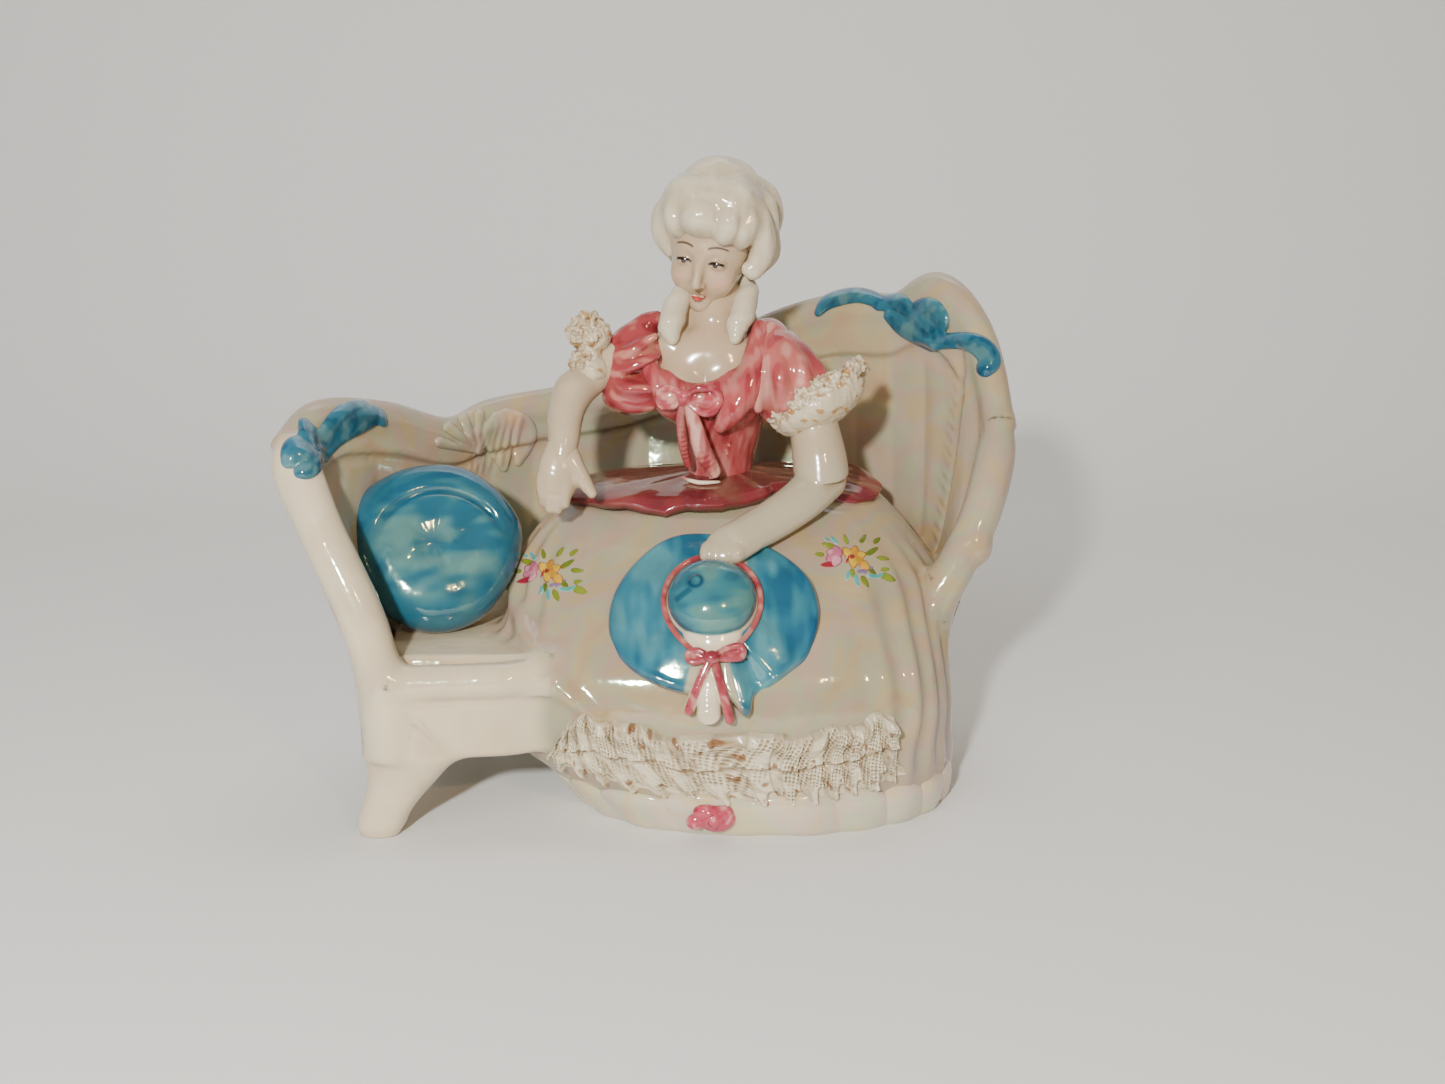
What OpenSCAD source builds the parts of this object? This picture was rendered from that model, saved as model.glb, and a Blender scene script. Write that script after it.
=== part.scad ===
// Porcelain figurine: a lady in a wide gown seated on a settee with a curved back.
// X runs to the right, Y to the back, Z up. The origin is on the table under the middle of the group.

/* [Settee] */
// Height of the seat above the table
seat_z = 31; // [30:0.5:32]
// Height of the seat rail's front face
rail_h = 15; // [13:0.5:16]
// Thickness of the curved back wall
wall_t = 5; // [4:0.5:6]
// Radius of the rolled crest along the top of the back
crest_r = 3.4; // [2.8:0.2:4]
// Radius of the two rolled front posts
post_r = 4.2; // [3.6:0.2:4.8]
// Height of the legs up to the rail
leg_h = 16; // [15:0.5:17]

/* [Gown] */
// Thickness of the hollow skirt's cast wall
skirt_t = 3; // [2:0.5:4]
// How far the folds of the skirt stand out
fold = 0.7; // [0:0.1:1]
// How far the lace stands off the skirt
lace_t = 2.6; // [2:0.2:3.2]

/* [Lady] */
// Half of the width of the chest
chest_w = 10; // [9:0.5:11]
// Width of the hair dressed over the head
hair_w = 24; // [22:1:25]
// Radius of the wrists
wrist_r = 2.1; // [1.8:0.1:2.4]

/* [Hat and cushion] */
// Radius of the hat's brim
brim_r = 19.5; // [17:0.5:20]
// Radius of the hat's crown
crown_r = 8.5; // [7:0.5:9]
// Radius of the round cushion
cushion_r = 16.5; // [14:0.5:17]
// Thickness of the cushion at its middle
cushion_t = 11; // [8:0.5:12]

/* [Hidden] */

cream = "#e4dccb";
skin = "#eee2d2";
blue = "#4f9db8";
rose = "#c8606a";
lace = "#e9e4d6";
wig = "#e6e1d6";

// Centre line of the wall at the seat, from the left post round the back to the right post
base_line = [
    [-50, -36], [-54, -26], [-55, -13], [-51, 0], [-44, 9], [-33, 16], [-18, 21],
    [-2, 23.5], [14, 24.5], [29, 24], [42, 20.5], [52, 12], [57, 0], [57, -13.5]
];
// Centre line of the crest above it, low on the left and high on the right
crest_line = [
    [-68.5, -22, 69], [-64.5, -13, 73.5], [-55.5, 1, 71], [-45, 14, 65.5], [-37, 23, 67.5], [-25, 30, 68.5],
    [-8, 35.5, 70.5], [8, 37.3, 76.5], [24, 37.3, 84.5], [38, 34, 88.8], [49, 29, 89.5], [57, 22, 93.5],
    [64, 11, 85], [68.5, 2, 69]
];
// Centre lines of the two front posts, from the rail up to the crest
left_post_line = [
    [-49, -36.5, 16], [-49.5, -36.5, 26], [-54, -34, 42],
    [-61.5, -29, 57], [-66.5, -24, 67], [-67.5, -21.5, 72]
];
right_post_line = [
    [55.5, -14.5, 26.5], [58, -13.5, 34.5], [61.8, -11.5, 44],
    [66.5, -6, 56], [68, 0, 66], [67.5, 3, 72]
];
// Middle of the gown and of the lady seated in it
lady_x = 12;

// Height, middle, half width, front and back reach, and roundness of the skirt
skirt_rows = [
    [0, 18, 38.5, -36.5, 13, 0.85], [6, 18, 39.5, -38, 14, 0.85], [14, 16, 40.5, -38.5, 16, 0.75],
    [22, 12, 44, -38, 18, 0.62], [30, 11.5, 43.5, -36, 20, 0.62], [37, 12.5, 42, -31, 21.5, 0.75],
    [44, 12.5, 41, -24.5, 22.5, 0.85], [50, 12, 37, -18.5, 23, 0.9], [54.5, 12, 32.5, -13, 23, 1],
    [57, 12, 27, -7, 20, 1]
];
// Thickness of the seat slab
deck_t = 4;

function unit(v) = v / norm(v);
function mean(r) = [for (p = r) 1] * r / len(r);
function curve_at(p, x) =
    let (k = max(0, min(floor(x), len(p) - 2)), u = x - k,
        a = p[max(k - 1, 0)], b = p[k], c = p[k + 1], d = p[min(k + 2, len(p) - 1)])
    (2 * b + (c - a) * u + (2 * a - 5 * b + 4 * c - d) * u * u + (3 * b - a - 3 * c + d) * u * u * u) / 2;
// Point at t from 0 to 1 on a smooth curve through the points p
function curve(p, t) = curve_at(p, t * (len(p) - 1));
function slope(p, t) = unit(curve(p, min(t + 0.01, 1)) - curve(p, max(t - 0.01, 0)));
function rounded(v, e) = sign(v) * pow(abs(v), e);
// Flat ring of n points with half sizes a and b about c; e is 1 for an ellipse and less for a squarer one
function ring(c, a, b, n = 24, e = 1) =
    [for (i = [0:n - 1]) c + [a * rounded(cos(360 * i / n), e), b * rounded(sin(360 * i / n), e), 0]];

// Closed solid through rings that all have the same number of points
module loft(rings) {
    n = len(rings[0]);
    m = len(rings);
    points = [for (r = rings) each r, mean(rings[0]), mean(rings[m - 1])];
    low = [for (i = [0:n - 1]) [m * n, i, (i + 1) % n]];
    high = [for (i = [0:n - 1]) [m * n + 1, (m - 1) * n + (i + 1) % n, (m - 1) * n + i]];
    sides = [for (j = [0:m - 2], i = [0:n - 1])
        let (a = j * n + i, b = j * n + (i + 1) % n) each [[a, a + n, b + n], [a, b + n, b]]];
    polyhedron(points, concat(low, sides, high), convexity = 6);
}

// Round or oval limb along a smooth line, with its radius taken from a list along the line
module limb(line, radii, steps = 12, n = 12, hint = [0, -1, 0], flat = 1) {
    loft([for (k = [0:steps])
        let (t = k / steps, c = curve(line, t), d = slope(line, t),
            s = unit(cross(hint, d)), u = cross(d, s), r = curve(radii, t))
        [for (i = [0:n - 1]) c + r * cos(360 * i / n) * s + r * flat * sin(360 * i / n) * u]]);
}

// Egg with half sizes r, turned by tilt about its centre c
module egg(c, r, tilt = [0, 0, 0], facets = 24) {
    translate(c) rotate(tilt) scale(r) sphere(1, $fn = facets);
}

// Joins its children into one mesh and leaves their size as it is
module cast() {
    resize([0, 0, 0]) children();
}

// Settee -------------------------------------------------------------------

function base(t) = curve(base_line, t);
// Horizontal direction out of the settee at t along the wall
function outward(t) = let (d = slope(base_line, t)) [-d[1], d[0], 0];
function wall_mid(t, v) =
    let (b = base(t), low = [b[0], b[1], seat_z - 3], high = curve(crest_line, t))
    low + (high - low) * v + outward(t) * 1.5 * sin(180 * v);
function wall_section(t) =
    let (o = outward(t) * wall_t / 2, foot = wall_mid(t, 0),
        under = [foot[0], foot[1], leg_h + 90 * max(0, t - 0.88)],
        rises = [for (v = [0:0.25:1]) wall_mid(t, v)])
    concat([under + o], [for (p = rises) p + o], [for (k = [4:-1:0]) rises[k] - o], [under - o]);

// The wall stops just inside the round posts at its two ends
module wall_solid() {
    loft([for (k = [0:40]) wall_section(0.02 + 0.96 * k / 40)]);
}

module settee_back() {
    color(cream) cast() difference() {
        wall_solid();
        crest_solid();
        skirt_solid(0.1);
    }
}

// Seat slab inside the wall, with the gown's room cut out of it
module seat_deck() {
    inside = [for (k = [1:20]) let (o = outward(k / 40)) base(k / 40) - (wall_t / 2 + 0.05) * [o[0], o[1]]];
    color(cream) cast() difference() {
        translate([0, 0, seat_z - deck_t]) linear_extrude(deck_t)
            polygon(concat(inside, [[0, -20], [-20, -34.5], [-45, -34.5]]));
        skirt_solid(0.1);
        left_post_solid();
        right_post_solid();
    }
}

// Front face of the seat, with a rolled top edge over a flat apron
module front_rail() {
    roll_r = 2.9;
    color(cream) cast() difference() {
        translate([-49, -34.5, leg_h]) rotate([90, 0, 90]) linear_extrude(29) difference() {
            union() {
                translate([-4.4, 0]) square([4.4, rail_h - roll_r * 2 + 1]);
                translate([-2.6, rail_h - roll_r]) circle(roll_r, $fn = 24);
                translate([-2.6, 1]) square([2.6, rail_h - 1]);
            }
            square([roll_r, rail_h]);
        }
        skirt_solid(0.1);
        left_post_solid();
    }
}

module leg(top, foot, top_r, foot_r) {
    loft([for (k = [0:6]) let (t = k / 6, w = t * t * (3 - 2 * t), c = foot + (top - foot) * w,
        r = foot_r + (top_r - foot_r) * w * t) ring([c[0], c[1], leg_h * t], r, r * 0.9, 16, 0.8)]);
}

module front_left_leg() {
    color(cream) leg([-45.6, -34.6], [-51.4, -36], 8.2, 4.7);
}

module rear_left_leg() {
    color(cream) leg([-46, 6.5], [-50.5, 11.5], 5.5, 3.6);
}

module rear_right_leg() {
    color(cream) cast() difference() {
        leg([47.5, 16], [51.5, 20.5], 5.5, 3.6);
        skirt_solid(0.1);
    }
}

module left_post_solid() {
    limb(left_post_line, [4.6, post_r, post_r, post_r, 4.4, 2.4], 14, 14);
}

module right_post_solid() {
    limb(right_post_line, [3.4, 4, post_r, post_r, 4, 2.4], 12, 14);
}

module left_post() {
    color(cream) left_post_solid();
}

module right_post() {
    color(cream) cast() difference() {
        right_post_solid();
        skirt_solid(0.1);
    }
}

module crest_solid() {
    r = crest_r;
    limb([for (p = crest_line) p + [0, 0, 0.8]],
        [r - 0.3, r, r, r - 0.2, r, r + 0.2, r, r, r, r, r - 0.2, r + 0.6, r, r - 0.3], 40, 10, [0, 0, 1]);
}

module crest_rail() {
    color(cream) cast() difference() {
        crest_solid();
        left_post_solid();
        right_post_solid();
    }
}

// Small fan with five ribs that hangs from the low crest on its inner side
module crest_shell() {
    fan_h = 9;
    color(cream) cast() difference() {
        translate([-38.5, 16, 60.5]) rotate([-12, 0, 38]) loft([for (k = [0:6])
            let (t = k / 6, w = 1.4 + 4.6 * sin(90 * t))
            [for (i = [0:23]) let (x = cos(15 * i), rib = 1 + 0.2 * cos(900 * x))
                [w * x, 2 * rib * sin(15 * i), fan_h * t + 1.8 * t * (1 - x * x)]]]);
        wall_solid();
        crest_solid();
    }
}

// Moulded ribbon made of rounded lobes from point to point
module ribbon_relief(lobes) {
    for (k = [0:len(lobes) - 2]) hull() {
        translate(lobes[k][0]) sphere(lobes[k][1], $fn = 12);
        translate(lobes[k + 1][0]) sphere(lobes[k + 1][1], $fn = 12);
    }
}

module left_crest_ribbon() {
    color(blue) cast() difference() {
        ribbon_relief([
            [[-63.4, -20.4, 67.4], 3.6], [[-61.4, -16.8, 71], 3.2], [[-58.2, -10, 71.4], 3.2],
            [[-54.4, -4, 70.8], 2.4]
        ]);
        wall_solid();
        crest_solid();
        left_post_solid();
    }
}

module right_crest_ribbon() {
    color(blue) cast() difference() {
        ribbon_relief([
            [[32.7, 30, 87.8], 1.9], [[40.8, 27.4, 90], 2.5], [[48.6, 25.6, 89.6], 3],
            [[54.2, 19, 87.6], 3.8], [[59.4, 13.6, 84], 2.8], [[62, 8.4, 81.8], 3]
        ]);
        wall_solid();
        crest_solid();
    }
}

// Frame of the cushion as it leans in the corner of the settee
module on_cushion() {
    translate([-44.3, -11, 48.4]) rotate([61, 0, 14]) children();
}

module cushion_solid() {
    on_cushion() loft([for (k = [0:8]) let (a = -80 + 20 * k, r = cushion_r * pow(cos(a), 0.45))
        ring([0, 0, cushion_t / 2 * sin(a)], r, r, 32, 0.9)]);
}

module cushion() {
    color(blue) cast() difference() {
        cushion_solid();
        wall_solid();
        skirt_solid(0.1);
        translate([-80, -40, 0]) cube([60, 80, seat_z]);
    }
}

// Gown ---------------------------------------------------------------------

function skirt_row(z) = let (
        k = max([for (i = [0:len(skirt_rows) - 2]) skirt_rows[i][0] <= z ? i : 0]),
        span = skirt_rows[k + 1][0] - skirt_rows[k][0])
    curve_at(skirt_rows, k + (z - skirt_rows[k][0]) / span);
// Point on the skirt at height z and angle a about its middle, grown outward by g
function skirt_point(z, a, g = 0) =
    let (r = skirt_row(z), y0 = (r[3] + r[4]) / 2 + 2, grow = g + fold * cos(9 * a) * (1 - z / 70),
        b = (sin(a) < 0 ? y0 - r[3] : r[4] - y0) + grow)
    [r[1] + (r[2] + grow) * rounded(cos(a), r[5]), y0 + b * rounded(sin(a), r[5]), z];
function skirt_ring(z, g = 0, n = 54) = [for (i = [0:n - 1]) skirt_point(z, 360 * i / n, g)];
skirt_levels = [for (r = skirt_rows) r[0]];

module skirt_solid(g = 0) {
    loft([for (z = skirt_levels) skirt_ring(z, g, 54)]);
}

// Hollow casting, open underneath
module skirt() {
    inner = [for (k = [0:len(skirt_levels) - 3]) skirt_ring(skirt_levels[k], -skirt_t, 36)];
    color(cream) cast() difference() {
        skirt_solid();
        loft([[for (p = inner[0]) p - [0, 0, 1]], each inner]);
    }
}

// Band along the front of the skirt from angle a0 to a1, with its foot, height and depth as lists
module skirt_band(a0, a1, foot, high, deep, steps) {
    loft([for (k = [0:steps])
        let (t = k / steps, a = a0 + (a1 - a0) * t,
            z = curve(foot, t), h = curve(high, t), d = curve(deep, t))
        [skirt_point(z, a, 0.05), skirt_point(z + h / 2, a, 0.05), skirt_point(z + h, a, 0.05),
            skirt_point(z + h * 0.8, a, d * 0.7), skirt_point(z + h * 0.45, a, d),
            skirt_point(z, a, d * 0.8)]]);
}

module hem_ruffle() {
    color(cream) cast() difference() {
        skirt_band(172, 368, [0, 0, 0, 0], [6, 8, 8, 7], [1, 2, 2, 1.2], 48);
        skirt_lace_solid();
    }
}

module skirt_lace_solid() {
    t = lace_t;
    skirt_band(207, 332, [14.5, 9.5, 8.2, 9, 13], [8, 11, 12, 12, 10], [t / 2, t, t, t, t / 2], 44);
}

module skirt_lace() {
    color(lace) cast() difference() {
        skirt_lace_solid();
        skirt_solid();
    }
}

// Rose with five petals round a bud, at the foot of the gown
module hem_rose() {
    c = [10, -39.4, 4.2];
    color(rose) cast() difference() {
        union() {
            for (k = [0:4]) hull() {
                translate(c) sphere(1.4, $fn = 10);
                translate(c + [2.9 * cos(72 * k + 18), 0.2, 2.5 * sin(72 * k + 18)]) sphere(1.5, $fn = 10);
            }
            translate(c - [0, 1, 0]) sphere(1.6, $fn = 12);
        }
        skirt_solid(0.05);
        skirt_lace_solid();
        skirt_band(172, 368, [0, 0, 0, 0], [6, 8, 8, 7], [1, 2, 2, 1.2], 48);
        translate([0, -60, -10]) cube([20, 40, 10]);
    }
}

// Draped overskirt that lies on the lap and runs in to the waist; height, middle and two half sizes
peplum_rows = [
    [54, 5, 32.5, 19], [56.5, 5, 31.5, 18.5], [58.8, 5, 27, 16], [60, 4, 18, 11.5], [61.2, 3, 10.5, 8.5]
];
module peplum() {
    color(rose) cast() difference() {
        loft([for (r = peplum_rows) ring([lady_x, r[1], r[0]], r[2], r[3], 32)]);
        skirt_solid(0.05);
        torso_solid();
        forearm_solids();
    }
}

// Lady ---------------------------------------------------------------------

// Height, what is added to half of the chest's width, half of its depth, and its middle
torso_rows = [
    [60, -3, 5.8, 3], [65, -2.6, 6.2, 2.6], [70, -1.2, 7.4, 1.6], [75, 0, 8.4, 1.2], [80, 0, 7.6, 2.2],
    [84, -0.5, 6, 3.4], [86.5, -4, 4.6, 4]
];
module torso_solid(g = 0) {
    loft([for (r = torso_rows) ring([lady_x - 0.5, r[3], r[0]], chest_w + r[1] + g, r[2] + g, 22, 0.95)]);
}

module neckline() {
    translate([lady_x - 1.5, -9, 87]) rotate([20, 0, 0]) scale([0.82, 1, 1.05]) sphere(9.5, $fn = 22);
}

module neck_solid() {
    limb([[lady_x - 0.5, 4, 80], [lady_x - 1, 4, 87], [10, 3.5, 93], [9.8, 4, 99]],
        [6.5, 4.4, 3.7, 3.6], 8, 18);
}

module bodice() {
    color(rose) cast() difference() {
        torso_solid();
        torso_solid(-1.2);
        neckline();
        neck_solid();
    }
}

module neck_and_chest() {
    color(skin) cast() difference() {
        union() {
            torso_solid(-1.25);
            neck_solid();
        }
        head_solid();
    }
}

head_tilt = [14, 8, -14];
module on_head() {
    translate([10, 4, 105.5]) rotate(head_tilt) children();
}

module head_solid() {
    on_head() hull() {
        egg([0, 0.8, 2.5], [8.8, 9.6, 9.5]);
        egg([0, -3.2, -7.8], [3.6, 4, 4.6], facets = 18);
    }
}

module head() {
    color(skin) head_solid();
}

// Powdered wig dressed high, built of rolled locks
module hair_solid() {
    on_head() {
        egg([0.6, 2.6, 4.8], [hair_w / 2, 11.4, 11.6], facets = 24);
        egg([-7.8, 0, -2.5], [3.6, 6, 6], facets = 14);
        egg([9, 1.5, -3.4], [4.2, 6.2, 6.4], facets = 14);
        egg([0, 7.5, -4.5], [7.5, 5.5, 6.5], facets = 16);
    }
}

module hair() {
    color(wig) cast() difference() {
        hair_solid();
        head_solid();
        neck_solid();
        on_head() translate([0, -9.5, -6.8]) scale([1, 1.3, 1.15]) sphere(7.6, $fn = 24);
    }
}

module ringlet(line) {
    limb(line, [1.6, 2.4, 2.6, 2.3, 1], 8, 12);
}

module left_ringlet() {
    color(wig) cast() difference() {
        ringlet([[4, 2.4, 98], [3.2, 1, 95.4], [2.2, -0.6, 92.6], [1.8, -1.8, 90], [2.4, -2.6, 87.8]]);
        head_solid();
        hair_solid();
        neck_solid();
        torso_solid();
        left_sleeve_solid();
    }
}

module right_ringlet() {
    color(wig) cast() difference() {
        ringlet([[17.5, 4.5, 98.6], [17.8, 3, 96], [17.2, 0.6, 93], [16.2, -1.4, 90.4], [15.6, -2.4, 88]]);
        head_solid();
        hair_solid();
        neck_solid();
        torso_solid();
    }
}

module left_sleeve_solid() {
    hull() {
        egg([1.2, 3, 84], [4, 4.6, 4.6], facets = 20);
        egg([-4.6, 0.5, 81.5], [6, 6.6, 8.2], [0, 12, 0], facets = 22);
    }
}

module right_sleeve_solid() {
    hull() {
        egg([22, 3.4, 84], [4, 4.6, 4], facets = 20);
        egg([25.6, -0.5, 79], [7.2, 7, 9], [0, -28, 0], facets = 22);
    }
}

module left_sleeve() {
    color(rose) cast() difference() {
        left_sleeve_solid();
        torso_solid();
    }
}

module right_sleeve() {
    color(rose) cast() difference() {
        right_sleeve_solid();
        torso_solid();
        right_arm_solid();
    }
}

module left_lace_cuff_solid() {
    egg([-12.8, -0.5, 85.6], [4.6, 5.8, 6.8], [0, 14, 0], 20);
}

module right_lace_cuff_solid() {
    translate([32.4, -3.4, 74.6]) rotate([0, -30, 12]) scale([9, 6.4, 4.2]) sphere(1, $fn = 22);
}

module left_lace_cuff() {
    color(lace) cast() difference() {
        left_lace_cuff_solid();
        left_sleeve_solid();
        left_arm_solid();
    }
}

module right_lace_cuff() {
    color(lace) cast() difference() {
        right_lace_cuff_solid();
        right_sleeve_solid();
        right_arm_solid();
    }
}

// Upper arm out of the cuff, bent at the elbow and down to the wrist
module left_arm_solid() {
    limb([[-10.5, -1, 84], [-15, -2.6, 81.4], [-18.8, -5.4, 77], [-19.6, -8.6, 71.6], [-19.9, -11.4, 66]],
        [3.2, 3.4, 3.3, 2.7, wrist_r], 12, 14);
}

module left_arm() {
    color(skin) cast() difference() {
        left_arm_solid();
        left_sleeve_solid();
    }
}

module left_hand() {
    color(skin) cast() difference() {
        union() {
            limb([[-19.9, -11.6, 65.6], [-20.2, -13, 62], [-20, -13.8, 58.5], [-19.4, -14.4, 55.4]],
                [2.1, 3.4, 3.3, 1.6], 8, 12, flat = 0.6);
            limb([[-17.6, -12.6, 63], [-15, -13.2, 60.6], [-13.2, -13.6, 57.8]], [1.4, 1.4, 0.9], 5, 10);
        }
        left_arm_solid();
        skirt_solid(0.05);
    }
}

module right_arm_solid() {
    limb([[27.4, -1.6, 77], [29.6, -4, 70.5], [30.8, -6.6, 64.5], [31.6, -8.6, 60]],
        [4.2, 4.5, 4.5, 3.6], 8, 14);
}

module right_forearm_solid() {
    limb([[34, -8.4, 59.2], [29.6, -12.4, 58], [24.4, -16.6, 55.6], [18.8, -20.2, 53]],
        [3.8, 4, 3.3, wrist_r + 0.3], 8, 12, [0, 0, 1], 0.8);
}

module forearm_solids() {
    right_arm_solid();
    right_forearm_solid();
}

module right_arm() {
    color(skin) cast() difference() {
        forearm_solids();
        skirt_solid(0.05);
    }
}

module right_hand_solid() {
    limb([[19.2, -20, 53], [16.2, -21.8, 51.8], [13.4, -24, 49.6], [11.8, -26, 47]],
        [2.1, 3, 3, 1.4], 8, 12, [0, 0, 1], 0.6);
}

module right_hand() {
    color(skin) cast() difference() {
        right_hand_solid();
        forearm_solids();
        skirt_solid(0.05);
        hat_brim_solid();
    }
}

module bodice_bow_knot() {
    translate([7.6, -8, 77.3]) sphere(1.7, $fn = 16);
}

// Bow of two loops and a knot on the front of the bodice
module bodice_bow() {
    color(rose) cast() difference() {
        union() {
            for (side = [-1, 1]) hull() {
                translate([7.6, -7.4, 77.4]) sphere(1.2, $fn = 10);
                egg([7.6 + side * 4.6, -6.6, 77.6 + side * 0.4], [1.8, 1.4, 2.3], facets = 12);
            }
            bodice_bow_knot();
        }
        torso_solid();
    }
}

module bow_streamers() {
    color(rose) cast() difference() {
        for (side = [0, 1])
            limb([[7.6 + side, -7.8, 76.2], [8.2 + side * 1.6, -7.2, 72], [8.6 + side * 3.4, -5.6, 67],
                [9 + side * 4.4, -4.6, 62.4]], [0.9, 1.5, 1.4, 1.2], 8, 10, flat = 0.6);
        torso_solid();
        bodice_bow_knot();
        peplum_top();
    }
}

module peplum_top() {
    translate([-10, -30, 55]) cube([45, 50, 6.2]);
}

// Hat ----------------------------------------------------------------------

// Frame of the hat as it lies on the slope of the lap
module on_hat() {
    translate([10.4, -28.4, 39.6]) rotate([49, 0, 0]) children();
}

function brim_height(r) = 2.4 - 3.2 * pow(r / brim_r, 2);

module hat_brim_solid() {
    rise = [for (k = [0:4]) let (r = brim_r * k / 4) [r, brim_height(r)]];
    on_hat() scale([1, 0.9, 1]) rotate_extrude($fn = 40)
        polygon(concat([for (p = rise) p + [0, 1]], [for (k = [4:-1:0]) rise[k] - [0, 0.9]]));
}

module hat_brim() {
    color(blue) cast() difference() {
        hat_brim_solid();
        skirt_solid(0.05);
    }
}

module hat_crown() {
    color(blue) on_hat() translate([0, 0, 3.42]) rotate_extrude($fn = 48)
        polygon([[0, 0], [crown_r, 0], [crown_r, 1.4], [crown_r * 0.94, 3], [crown_r * 0.78, 4.5],
            [crown_r * 0.5, 5.6], [crown_r * 0.22, 6.1], [0, 6.2]]);
}

module hat_band() {
    color(rose) on_hat() translate([0, 0, 3.42]) rotate_extrude($fn = 48)
        polygon([[crown_r + 0.05, 0], [crown_r + 1.5, 0], [crown_r + 1.5, 0.9], [crown_r + 1, 1.6],
            [crown_r + 0.05, 1.7]]);
}

module hat_bow() {
    color(rose) cast() difference() {
        on_hat() {
            for (side = [-1, 1]) hull() {
                translate([0.6, -10.8, 3.6]) sphere(1.1, $fn = 14);
                translate([0.6 + side * 4, -10.2, 3.6]) scale([1, 1.2, 0.8]) sphere(1.7, $fn = 14);
            }
            translate([0.6, -10.9, 4]) sphere(1.5, $fn = 16);
        }
        hat_brim_solid();
        on_hat() cylinder(r = crown_r + 1.55, h = 12, $fn = 40);
    }
}

module hat_streamers() {
    color(rose) cast() difference() {
        on_hat() for (side = [-1, 1])
            limb([[0.6 + side * 0.6, -12.2, 2.8], [0.6 + side * 2.4, -16, 1.4],
                [0.6 + side * 4.2, -20.4, -1]], [0.8, 1.2, 1], 6, 10, [0, 0, 1], 0.7);
        hat_brim_solid();
        skirt_solid(0.05);
        on_hat() translate([0.6, -10.9, 4]) sphere(1.5, $fn = 16);
    }
}

seat_deck();
front_rail();
front_left_leg();
rear_left_leg();
rear_right_leg();
settee_back();
left_post();
right_post();
crest_rail();
crest_shell();
left_crest_ribbon();
right_crest_ribbon();
cushion();
skirt();
hem_ruffle();
skirt_lace();
hem_rose();
peplum();
bodice();
bodice_bow();
bow_streamers();
neck_and_chest();
head();
hair();
left_ringlet();
right_ringlet();
left_sleeve();
right_sleeve();
left_lace_cuff();
right_lace_cuff();
left_arm();
left_hand();
right_arm();
right_hand();
hat_brim();
hat_crown();
hat_band();
hat_bow();
hat_streamers();
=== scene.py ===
"""Porcelain figurine of a lady on a settee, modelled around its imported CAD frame."""
import math

import bpy
import numpy as np
import openvdb
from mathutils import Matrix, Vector
from mathutils.bvhtree import BVHTree


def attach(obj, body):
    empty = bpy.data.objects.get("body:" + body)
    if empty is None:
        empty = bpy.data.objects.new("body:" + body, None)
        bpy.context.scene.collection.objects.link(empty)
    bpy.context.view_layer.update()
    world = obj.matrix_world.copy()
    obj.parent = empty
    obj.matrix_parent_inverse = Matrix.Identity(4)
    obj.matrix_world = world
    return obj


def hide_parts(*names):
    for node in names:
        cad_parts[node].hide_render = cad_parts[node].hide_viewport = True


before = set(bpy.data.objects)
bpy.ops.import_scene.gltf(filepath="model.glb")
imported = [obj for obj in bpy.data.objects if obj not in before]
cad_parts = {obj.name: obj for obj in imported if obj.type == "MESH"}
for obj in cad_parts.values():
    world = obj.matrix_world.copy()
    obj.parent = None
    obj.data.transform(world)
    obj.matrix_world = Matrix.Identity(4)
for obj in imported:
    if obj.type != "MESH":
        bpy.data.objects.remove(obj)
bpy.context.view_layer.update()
MM = 0.001
COARSE = 1.0

# ---------------------------------------------------------------- curves and noise


def unit(v):
    return v / np.maximum(np.linalg.norm(v, axis=-1, keepdims=True), 1e-9)


def curve(points, t):
    """Catmull-Rom curve through points, at t from 0 to 1."""
    p = np.asarray(points, float)
    flat = p.ndim == 1
    if flat:
        p = p[:, None]
    x = np.clip(np.asarray(t, float), 0, 1) * (len(p) - 1)
    k = np.minimum(x.astype(int), len(p) - 2)
    u = (x - k)[..., None]
    a, b = p[np.maximum(k - 1, 0)], p[k]
    c, d = p[k + 1], p[np.minimum(k + 2, len(p) - 1)]
    out = (2 * b + (c - a) * u + (2 * a - 5 * b + 4 * c - d) * u * u + (3 * b - a - 3 * c + d) * u ** 3) / 2
    return out[..., 0] if flat else out


def slope(points, t):
    t = np.asarray(t, float)
    return unit(curve(points, np.minimum(t + 0.01, 1)) - curve(points, np.maximum(t - 0.01, 0)))


def step(x, low, high):
    t = np.clip((x - low) / (high - low), 0, 1)
    return t * t * (3 - 2 * t)


def bump(x, centre, width):
    return np.exp(-((x - centre) / width) ** 2)


def turn(x=0.0, y=0.0, z=0.0):
    """Rotation matrix for turns in degrees about X, then Y, then Z."""
    a, b, c = (math.radians(v) for v in (x, y, z))
    rx = np.array([[1, 0, 0], [0, math.cos(a), -math.sin(a)], [0, math.sin(a), math.cos(a)]])
    ry = np.array([[math.cos(b), 0, math.sin(b)], [0, 1, 0], [-math.sin(b), 0, math.cos(b)]])
    rz = np.array([[math.cos(c), -math.sin(c), 0], [math.sin(c), math.cos(c), 0], [0, 0, 1]])
    return rz @ ry @ rx


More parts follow.
